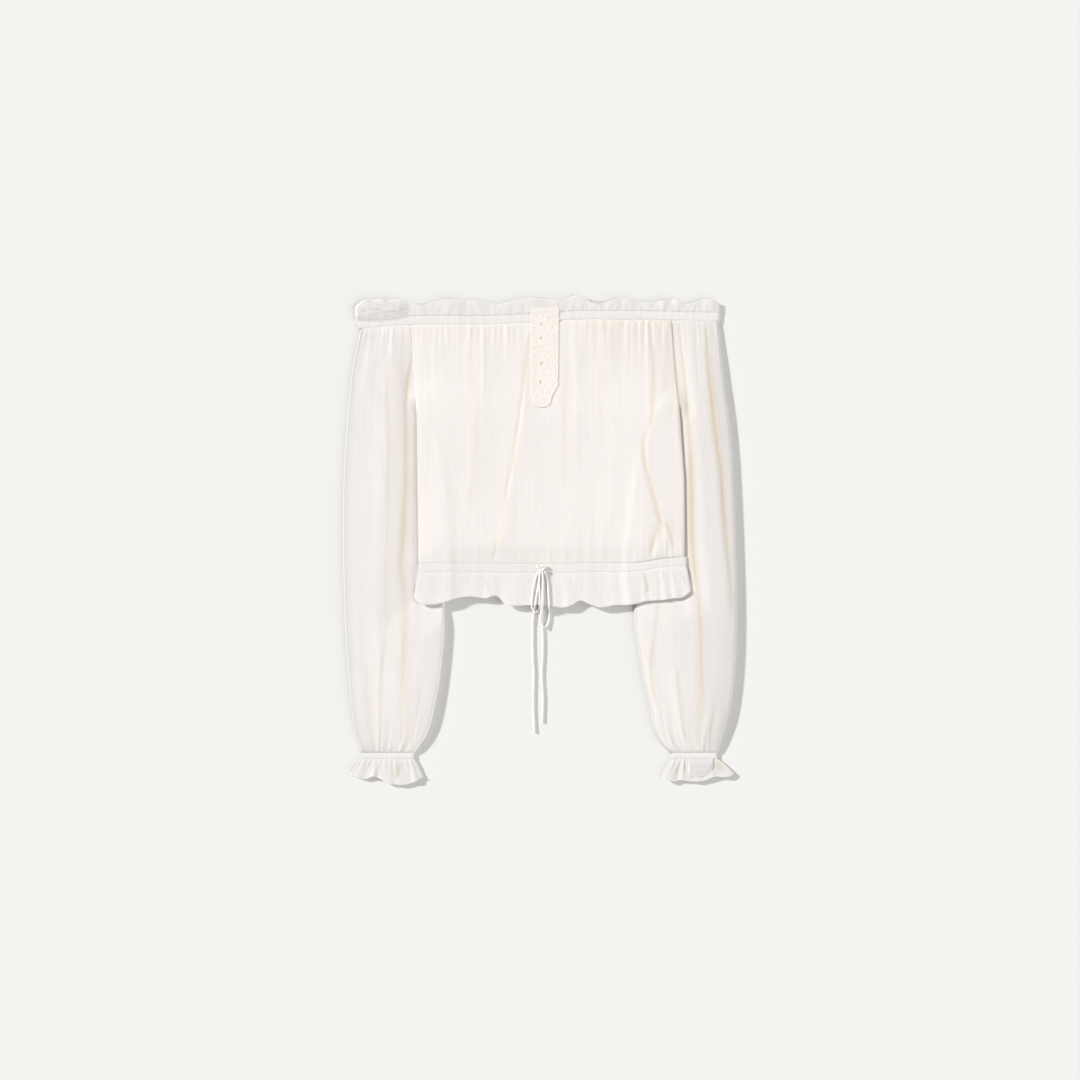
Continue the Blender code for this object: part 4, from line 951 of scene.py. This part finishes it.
# rows: x, y of the upper edge, y of the lower edge, height of the roll
turned = {
    "corner": {
        "rows": ((-229, 290, 281, 0.9), (-227, 293, 275.5, 1.9), (-222, 296.5, 273.8, 2.4),
                 (-212, 298.4, 273.6, 2.5), (-200, 300.2, 273.8, 2.4), (-186, 299, 274.6, 2.5),
                 (-174, 298, 276.6, 2.2), (-168, 297.2, 278.6, 1.5), (-163, 296.0, 280.6, 0.3)),
        "base": 0.5,        # height of its edges over the seam
        "grid": (120, 44),
        "sheerAndShade": 0.42,
        "rough": 0.45,
        "bulge": 0.8,       # below 1 the roll is highest near its upper edge
        "creases": (
            (1.6, ((298, -214, 2.6, 0.6), (291, -210, 2.2, 0.5), (283, -206, 1.4, 0.1))),
            (1.2, ((299, -190, 2.6, 0.4), (291, -186, 2.0, 0.3))),
            (1.2, ((297, -179, 2.2, 0.5), (284, -175, 1.6, 0.3))),
            (1.0, ((289, -226, 2.0, 0.4), (279, -220, 2.0, 0.3))),
            (0.9, ((284, -204, 1.6, 0.25), (275, -200, 1.4, 0.3))),
            (1.6, ((300, -200, 3.0, 0.6), (294, -198, 2.6, 0.3))),
            (1.5, ((296, -193, 1.2, 0.5), (286, -192.5, 1.2, 0.5))),
            (2.2, ((296, -172, 4.0, 0.9), (288, -170, 3.4, 0.9), (281, -168, 2.0, 0.4))),
            (1.2, ((292, -222, 1.6, 0.4), (284, -224, 1.6, 0.3))),
            (1.2, ((290, -182, 2.4, 0.3), (282, -180, 2.4, 0.35))),
        ),
    },
    "lobe": {
        "rows": ((183.5, -268, -279, 0.2), (184.5, -268, -286.5, 0.8), (188, -268, -289.4, 1.1),
                 (197, -268, -289.6, 1.3), (204, -268, -288.4, 1.3), (210, -268, -284, 1.1),
                 (213.6, -268, -277, 0.8), (214.6, -268, -271.5, 0.2)),
        "base": 0.8,
        "grid": (80, 36),
        "sheerAndShade": 0.45,
        "rough": 0.25,
        "bulge": 1.0,
        "creases": (
            (1.0, ((-268, 186.5, 1.4, 0.5), (-281, 187, 1.8, 0.5))),
            (0.8, ((-268, 193, 1.2, 0.3), (-280, 192, 1.6, 0.15))),
            (0.8, ((-268, 205, 1.2, 0.3), (-279, 206, 1.6, 0.15))),
            (0.6, ((-268, 199, 1.0, 0.3), (-277, 199, 1.4, 0.1))),
        ),
    },
}


def makeTurned(name, make):
    # a blister of cloth from one edge to the other: a sine arch of the share across, to a power
    table = np.array(make["rows"])
    x = np.linspace(table[0, 0], table[-1, 0], make["grid"][0])[:, None]
    across = np.linspace(0, 1, make["grid"][1])[None, :]
    top, low, rise = (curve(table[:, [0, k]], x) for k in (1, 2, 3))
    y = top + (low - top) * across
    arc = np.sin(math.pi * across ** make["bulge"]) ** 0.7
    ruffle = 0.7 * uneven(0.35 * x, y, 7, 3) + 0.3 * uneven(x, 0.6 * y, 9, 5)
    z = seamTop(x, y) + make["base"] + rise * arc + make["rough"] * ruffle * np.sin(math.pi * across)
    x = x + 0 * y
    lower, shade = creased(make["creases"], x, y)
    # painted shade in the hollows of the ruffles, as well as along the creases
    shade = np.maximum(shade, 0.55 * make["rough"] * np.clip(-ruffle, 0, 1))
    z = z - np.minimum(lower, 0.8 * rise * arc) + 1.2 * crinkle(x, y, 8)
    mesh = gridMesh(name, x, y, z, x, y, shade, make["sheerAndShade"])
    made = piece(name, mesh, finishes["frill"], 0.35)
    return np.stack([x, y, z], -1)


# cords and edge threads: a profile carried along a path

def threadMesh(name, path, radius, sides=8, strands=0, pitch=4.0, closed=False):
    # rings across the path, each turned to its direction; with strands, the ring has that many
    # lobes, which turn once in each pitch of length
    path = np.asarray(path, float)
    if closed:
        ahead = np.roll(path, -1, axis=0) - np.roll(path, 1, axis=0)
    else:
        ahead = np.gradient(path, axis=0)
    ahead /= np.linalg.norm(ahead, axis=1)[:, None]
    side = np.cross(ahead, [0.0, 0.0, 1.0])
    side /= np.maximum(np.linalg.norm(side, axis=1), 1e-6)[:, None]
    up = np.cross(side, ahead)
    steps = np.linalg.norm(np.diff(path, axis=0), axis=1)
    run = np.concatenate([[0], np.cumsum(steps)])
    turn = 2 * math.pi * np.arange(sides)[:, None] / sides
    size = np.full((sides, len(path)), float(radius))
    if strands:
        lobes = np.abs(np.cos(strands / 2 * (turn - 2 * math.pi * run[None, :] / pitch)))
        size = radius * (0.80 + 0.20 * lobes ** 0.6)
    spokes = np.cos(turn)[..., None] * side[None] + np.sin(turn)[..., None] * up[None]
    points = path[None] + size[..., None] * spokes
    if closed:
        points = np.concatenate([points, points[:, :1]], axis=1)
        run = np.append(run, run[-1] + steps[-1])
    u = radius * turn + 0 * run[None, :]
    v = run[None, :] + 0 * turn
    x, y, z = np.moveaxis(points, -1, 0)
    mesh = gridMesh(name, x, y, z, u, v, 0.0, wrap=True, upward=False)
    work = bmesh.new()
    work.from_mesh(mesh)
    bmesh.ops.remove_doubles(work, verts=work.verts, dist=1e-6)
    bmesh.ops.holes_fill(work, edges=[edge for edge in work.edges if edge.is_boundary], sides=0)
    bmesh.ops.recalc_face_normals(work, faces=work.faces)
    work.to_mesh(mesh)
    work.free()
    return mesh


def makeEdge(name, path, radius):
    # the rolled hem along an edge
    edge = piece(name, threadMesh(name, path, radius, sides=7), finishes["thread"])


def smoothPath(places, spacing):
    # a cubic through the places, read at even steps of its length
    places = np.array(places, float)
    run = np.concatenate([[0], np.cumsum(np.linalg.norm(np.diff(places, axis=0), axis=1))])
    fine = np.linspace(0, run[-1], int(run[-1] / spacing) + 2)
    return np.stack([curve(np.stack([run, axis], 1), fine) for axis in places.T], 1)


def treeOf(made):
    shown = made.evaluated_get(bpy.context.evaluated_depsgraph_get())
    mesh = shown.to_mesh()
    points = [vert.co.copy() for vert in mesh.vertices]
    faces = [tuple(face.vertices) for face in mesh.polygons]
    shown.to_mesh_clear()
    return BVHTree.FromPolygons(points, faces)


def topUnder(trees, x, y, reach, count=3):
    # highest point of the pieces within reach, the floor being 0
    best = 0.0
    for across in np.linspace(-reach, reach, count):
        for along in np.linspace(-reach, reach, count):
            above = Vector(((x + across) * mm, (y + along) * mm, 0.1))
            for tree in trees:
                hit = tree.ray_cast(above, Vector((0, 0, -1)))[0]
                if hit is not None:
                    best = max(best, hit.z / mm)
    return best


tie = {
    "cord": 2.4,
    "knot": (1.5, -31.5),
    "exitY": -36.4,
    "size": (12.4, 8.6, 7.2),
    "tailLeft": ((-1.6, -50), (-5, -70), (-8.5, -92), (-9.5, -125), (-8, -165), (-8.5, -205), (-7, -235.5)),
    "tailRight": ((4.4, -52), (3.5, -72), (2.5, -95), (3.5, -130), (2, -165), (3.5, -195), (2.5, -223)),
    "loopShort": ((-5.8, -46), (-9.2, -62), (-10.4, -76), (-9.6, -82.5), (-5.6, -86.4), (-1.7, -83.5),
                  (-0.6, -77), (-0.6, -62), (-0.9, -46)),
    "loopLong": ((8.4, -46), (10.4, -66), (11, -86), (10.4, -99), (8.3, -103.6), (5.4, -105.2),
                 (2.6, -103.4), (0.8, -99), (1.6, -84), (2.9, -62), (3.2, -46)),
    "twist": 4.2,
}


def settled(start, route, end, trees, others):
    # the route laid on what is highest under it, other cords too, then drawn smooth
    places = [start[:2], *route] + ([end[:2]] if end else [])
    flat = smoothPath(places, 1.0)
    x, y = flat[:, 0], flat[:, 1]
    radius = tie["cord"] / 2
    floor = np.array([topUnder(trees, a, b, radius) for a, b in zip(x, y)]) + radius + 0.1
    apart = tie["cord"] + 0.15
    for other in others:
        off = np.hypot(x[:, None] - other[None, :, 0], y[:, None] - other[None, :, 1])
        over = other[None, :, 2] + np.sqrt(np.clip(apart ** 2 - off ** 2, 0, None))
        floor = np.maximum(floor, np.where(off < apart, over, 0).max(axis=1))
    z = floor.copy()
    z[0] = start[2]
    if end:
        z[-1] = end[2]
    for _ in range(14):
        z[1:-1] = np.maximum(floor[1:-1], (z[:-2] + z[2:]) / 2)
        if not end:
            z[-1] = max(floor[-1], z[-2])
    for _ in range(3):
        z[1:-1] = (z[:-2] + 2 * z[1:-1] + z[2:]) / 4
    return np.stack([x, y, z], 1)


def makeTie(casing, skirt):
    trees = [treeOf(casing), treeOf(skirt)]
    middle = (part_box("tie_knot")[0][2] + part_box("tie_knot")[1][2]) / 2 / mm
    step = (tie["cord"] + 0.3) / 2
    low, high = middle - step, middle + step
    knotX = tie["knot"][0]
    exitY = tie["exitY"]
    exits = {
        "tailLeft": ("tie_tail_left", (knotX - step, exitY, low), None),
        "tailRight": ("tie_tail_right", (knotX + step, exitY, low), None),
        "loopShort": ("tie_loop_short", (knotX - 3 * step, exitY, high), (knotX - step, exitY, high)),
        "loopLong": ("tie_loop_long", (knotX + 3 * step, exitY, high), (knotX + step, exitY, high)),
    }
    laid = []
    for key, (node, start, end) in exits.items():
        path = settled(start, tie[key], end, trees, laid)
        laid.append(path)
        sparse = path[::2] if len(path) % 2 else np.concatenate([path[::2], path[-1:]])
        fine = smoothPath(sparse, 0.55)
        mesh = threadMesh(key, fine, tie["cord"] / 2, sides=18, strands=3, pitch=tie["twist"])
        cord = piece(key + "Cord", mesh, finishes["cord"])
        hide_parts(node)
        if not end:
            whipping = threadMesh(key + "Whip", fine[-9:-1], tie["cord"] / 2 + 0.12, sides=14)
            band = piece(key + "Whipping", whipping, finishes["thread"])

    # the knot: one cord wound as a trefoil, wide and low
    turn = np.linspace(0, 2 * math.pi, 161)[:-1]
    wide, tall, deep = (size / 2 - tie["cord"] / 2 for size in tie["size"])
    knot = np.stack([
        tie["knot"][0] + wide * (np.sin(turn) + 2 * np.sin(2 * turn)) / 2.65,
        tie["knot"][1] + tall * (np.cos(turn) - 2 * np.cos(2 * turn)) / 2.75,
        middle - deep * np.sin(3 * turn),
    ], 1)
    mesh = threadMesh("knot", knot, tie["cord"] / 2 + 0.1, sides=18, strands=3, pitch=tie["twist"],
                      closed=True)
    made = piece("tieKnot", mesh, finishes["cord"])
    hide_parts("tie_knot")


# lace

# eyelets: x, y, half width, half height
laceHoles = (
    (1.8, 269.0, 1.3, 1.7), (1.6, 252.5, 1.6, 2.0), (2.6, 220.8, 2.0, 2.2), (1.8, 198.0, 2.2, 2.0),
)
# marks that only dent the lace, painted with shade: x, y, radius
laceMarks = (
    (-6.4, 265.2, 1.7), (16.0, 267.5, 1.7), (12.8, 235.0, 1.6), (-3.8, 213.8, 1.5), (19.8, 231.8, 1.5),
    (1.8, 236.0, 1.5), (15.5, 252.0, 1.2), (-7.0, 246.0, 1.2), (14.5, 214.0, 1.3), (-6.5, 230.0, 1.2),
    (6.6, 194.2, 1.5), (10.2, 190.0, 1.3), (-5.0, 196.0, 1.2), (15.0, 199.0, 1.2),
)


def laceEdge(x, y):
    # how far a point is inside the strip's outline, whose sides are lightly scalloped
    scallop = 0.45 * (1 - np.cos(2 * math.pi * y / 11.5))
    inLeft = x - straight(laceStrip["left"], y) - scallop
    inRight = straight(laceStrip["right"], y) - scallop - x
    return np.minimum(np.minimum(inLeft, inRight), y - laceStrip["bottom"])


def lacePattern(x, y):
    # Threads as distances: inside a thread's half width the value is above 0, and 1 on its line.
    # A close web of uneven strength fills the rest, and an eyelet is below 0.
    def bar(distance, half):
        return 1 - np.abs(distance) / half

    edge = laceEdge(x, y)
    wobble = 0.8 * uneven(x, y, 13, 4)
    net = np.maximum(bar((x + y + wobble) % 4.2 - 2.1, 1.2), bar((x - y + wobble) % 4.2 - 2.1, 1.2))
    patch = 0.5 + 0.5 * uneven(x, y, 7, 7)
    value = 0.04 + 0.24 * np.clip(net, 0, 1) + 0.62 * np.clip(patch, 0, 1) ** 1.3
    value = np.maximum(value, 0.8 * bar(edge - 1.0, 1.3))
    for markX, markY, size in laceMarks:
        away = np.hypot(x - markX, y - markY)
        value = np.where(away < size, 0.05, value)
        value = np.maximum(value, 0.9 * bar(away - (size + 1.2), 0.9))
    for k, (holeX, holeY, wide, tall) in enumerate(laceHoles):
        ring = np.hypot((x - holeX) / wide, (y - holeY) / tall)
        away = np.hypot(x - holeX, y - holeY)
        angle = np.arctan2(y - holeY, x - holeX)
        flower = bar(away - (wide + 3.0 + 0.9 * np.cos(6 * angle + k)), 0.9)
        value = np.maximum(value, np.where(ring > 1.1, 0.9 * flower, -1))
        value = np.maximum(value, bar((ring - 1.35) * wide, 1.0))
        value = np.where(ring < 0.55, -1.0, np.where(ring < 0.9, 0.02, value))
    return np.where(edge < 0, -1.0, value)


def laceFloor(under, x, y, left, right):
    # smoothed height of the pieces under the strip: a coarse grid of rays, read between its points
    make = laceStrip
    trees = [treeOf(made) for made in under]
    coarseX = np.linspace(left, right, 13)
    coarseY = np.linspace(make["bottom"], make["top"], 43)
    rest = np.array([[topUnder(trees, a, b, 1.4) for b in coarseY] for a in coarseX])
    rest = blurred(rest, 1, 1)
    i = (x - coarseX[0]) / (coarseX[1] - coarseX[0])
    j = (y - coarseY[0]) / (coarseY[1] - coarseY[0])
    i0, j0 = np.clip(i.astype(int), 0, 11), np.clip(j.astype(int), 0, 41)
    fi, fj = np.clip(i - i0, 0, 1), np.clip(j - j0, 0, 1)
    return (rest[i0, j0] * (1 - fi) * (1 - fj) + rest[i0 + 1, j0] * fi * (1 - fj)
            + rest[i0, j0 + 1] * (1 - fi) * fj + rest[i0 + 1, j0 + 1] * fi * fj)


def makeLace(under):
    make = laceStrip
    columns = int(2 * make["half"] / make["step"]) + 1
    rows = int((make["top"] - make["bottom"]) / make["step"]) + 1
    left, right = make["x"] - make["half"], make["x"] + make["half"]
    x, y = np.meshgrid(np.linspace(left, right, columns), np.linspace(make["top"], make["bottom"], rows),
                       indexing="ij")
    value = lacePattern(x, y)
    cells = (value[:-1, :-1] + value[1:, :-1] + value[:-1, 1:] + value[1:, 1:]) > 0
    kept = np.zeros((columns + 1, rows + 1))
    kept[1:-1, 1:-1] = cells
    around = kept[:-1, :-1] + kept[1:, :-1] + kept[:-1, 1:] + kept[1:, 1:]
    rim = (around > 0) & (around < 4)
    slopeX, slopeY = np.gradient(value, make["step"])
    steep = np.maximum(slopeX ** 2 + slopeY ** 2, 0.05)
    most = 0.45 * make["step"]
    x = x + np.where(rim, np.clip(-value * slopeX / steep, -most, most), 0)
    y = y + np.where(rim, np.clip(value * slopeY / steep, -most, most), 0)
    thread = np.sqrt(np.clip(value, 0, 1))
    near = [np.hypot((x - a) / (1.9 * w), (y - b) / (1.9 * h)) for a, b, w, h in laceHoles]
    near = np.array(near).min(axis=0)
    z = laceFloor(under, x, y, left, right) + 0.2 + make["rise"] * thread
    # painted shade between the threads, in the dents and round the eyelets; the uneven web also gives a
    # mottled tone
    deep = 0.5 * (1 - thread) ** 1.2 + 0.45 * (1 - ramp(0.4, 0.8, near))
    mesh = gridMesh("lace", x, y, z, x, y, deep, cells=cells)
    made = piece("laceStrip", mesh, finishes["lace"], 0.3)
    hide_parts("lace_placket")
    return made


# whole garment

def makeAll():
    front, back = makeBody()
    print("body made")
    for side in (-1, 1):
        makeSleeve(side)
    print("sleeves made")
    half = body["casing"] / 2
    seam = cloth["seam"]
    over = half + seam + cloth["tuck"]
    band, rims = {}, {}

    def neckCentre(x):
        return curve(body["neckLine"], x)

    def hemCentre(x):
        return curve(body["hemLine"], x)

    left, right = body["neckLine"][0][0], body["neckLine"][-1][0]
    band["neck"] = makeCasing("neckCasing", "neck_casing", neckCentre, left, right, over,
                              body["neckGathers"], 4)
    band["neckFrill"], rims["neck"] = makeFrill(
        "neckFrill", "neck_frill", frills["neck"], lambda x: neckCentre(x) + half + seam, (left, right),
        body["neckGathers"], 5)
    left, right = body["hemLine"][0][0], body["hemLine"][-1][0]
    band["hem"] = makeCasing("hemCasing", "hem_casing", hemCentre, left, right, over,
                             body["hemGathers"], 6, 460)
    band["hemFrill"], rims["hem"] = makeFrill(
        "hemFrill", "hem_frill", frills["hem"], lambda x: hemCentre(x) - half - seam, (left, right),
        body["hemGathers"], 7)
    for side in (-1, 1):
        key = "Left" if side < 0 else "Right"
        top, bottom = sleeves["top"], sleeves["bottom"]
        ends = sorted((float(sleeveInner(side, top)), float(sleeveOuter(side, top))))
        ruches = ((ends[0], 0), (ends[1], 11))
        band["cuff" + key] = makeCasing(
            f"cuffCasing{key}", f"cuff_casing_{key.lower()}", lambda x: (top + bottom) / 2 + 0 * x, *ends,
            (top - bottom) / 2 + seam + cloth["tuck"], ruches, 8 + side, 150, 12)
        band["cuffFrill" + key], rims[key] = makeFrill(
            f"cuffFrill{key}", f"cuff_frill_{key.lower()}", frills["cuff" + key],
            lambda x: bottom - seam + 0 * x, ends, ruches, 12 + side)
    print("casings and frills made")
    for key, rim in rims.items():
        makeEdge(f"rolledEdge{key.capitalize()}", rim, 0.38)
    grid = makeTurned("turnedCorner", turned["corner"])
    for k, path in enumerate((grid[:, 0], grid[-1], grid[2:, -1])):
        makeEdge(f"cornerEdge{k}", path, 0.36)
    grid = makeTurned("cuffLobe", turned["lobe"])
    makeEdge("lobeEdge", grid[:, -1], 0.42)
    makeLace([front, band["neck"], band["neckFrill"]])
    print("lace made")
    makeTie(band["hem"], band["hemFrill"])
    print("tie made")


# camera, floor and light

view = {
    "width": 1.3392,        # metres of floor across the picture
    "height": 3.2,          # camera above the floor
    "centre": (0.0, 0.0025),
    "floor": (0.808, 0.808, 0.792),
    # lamps: where each shines from, strength, angle it fills
    "lamps": {
        "key": ((-0.80, 0.44, 0.37), 4.0, 4.0),
        "fill": ((0.78, -0.42, 0.44), 2.3, 85.0),
    },
    "sky": 0.295,
}


def makeStage():
    lens = bpy.data.cameras.new("camera")
    lens.sensor_width = 36.0
    lens.lens = 36.0 * view["height"] / view["width"]
    lens.clip_end = 20.0
    camera = bpy.data.objects.new("camera", lens)
    camera.location = (*view["centre"], view["height"])
    bpy.context.scene.collection.objects.link(camera)
    bpy.context.scene.camera = camera

    mesh = bpy.data.meshes.new("floor")
    mesh.from_pydata([(-4, -4, 0), (4, -4, 0), (4, 4, 0), (-4, 4, 0)], [], [(0, 1, 2, 3)])
    floor = bpy.data.objects.new("floor", mesh)
    floor.location.z = -0.0002
    bpy.context.scene.collection.objects.link(floor)
    paint = bpy.data.materials.new("floorPaint")
    paint.use_nodes = True
    shader = paint.node_tree.nodes["Principled BSDF"]
    shader.inputs["Base Color"].default_value = (*view["floor"], 1)
    shader.inputs["Roughness"].default_value = 0.95
    shader.inputs["Specular IOR Level"].default_value = 0.1
    mesh.materials.append(paint)

    for name, (shinesFrom, strength, angle) in view["lamps"].items():
        lamp = bpy.data.lights.new(name, "SUN")
        lamp.energy = strength
        lamp.angle = math.radians(angle)
        placed = bpy.data.objects.new(name, lamp)
        placed.rotation_euler = Vector(shinesFrom).to_track_quat("Z", "Y").to_euler()
        bpy.context.scene.collection.objects.link(placed)

    sky = bpy.data.worlds.new("studio")
    sky.use_nodes = True
    sky.node_tree.nodes["Background"].inputs["Color"].default_value = (1.0, 0.998, 0.99, 1)
    sky.node_tree.nodes["Background"].inputs["Strength"].default_value = view["sky"]
    bpy.context.scene.world = sky
    bpy.context.scene.view_settings.view_transform = "Standard"


makeStage()
makeAll()
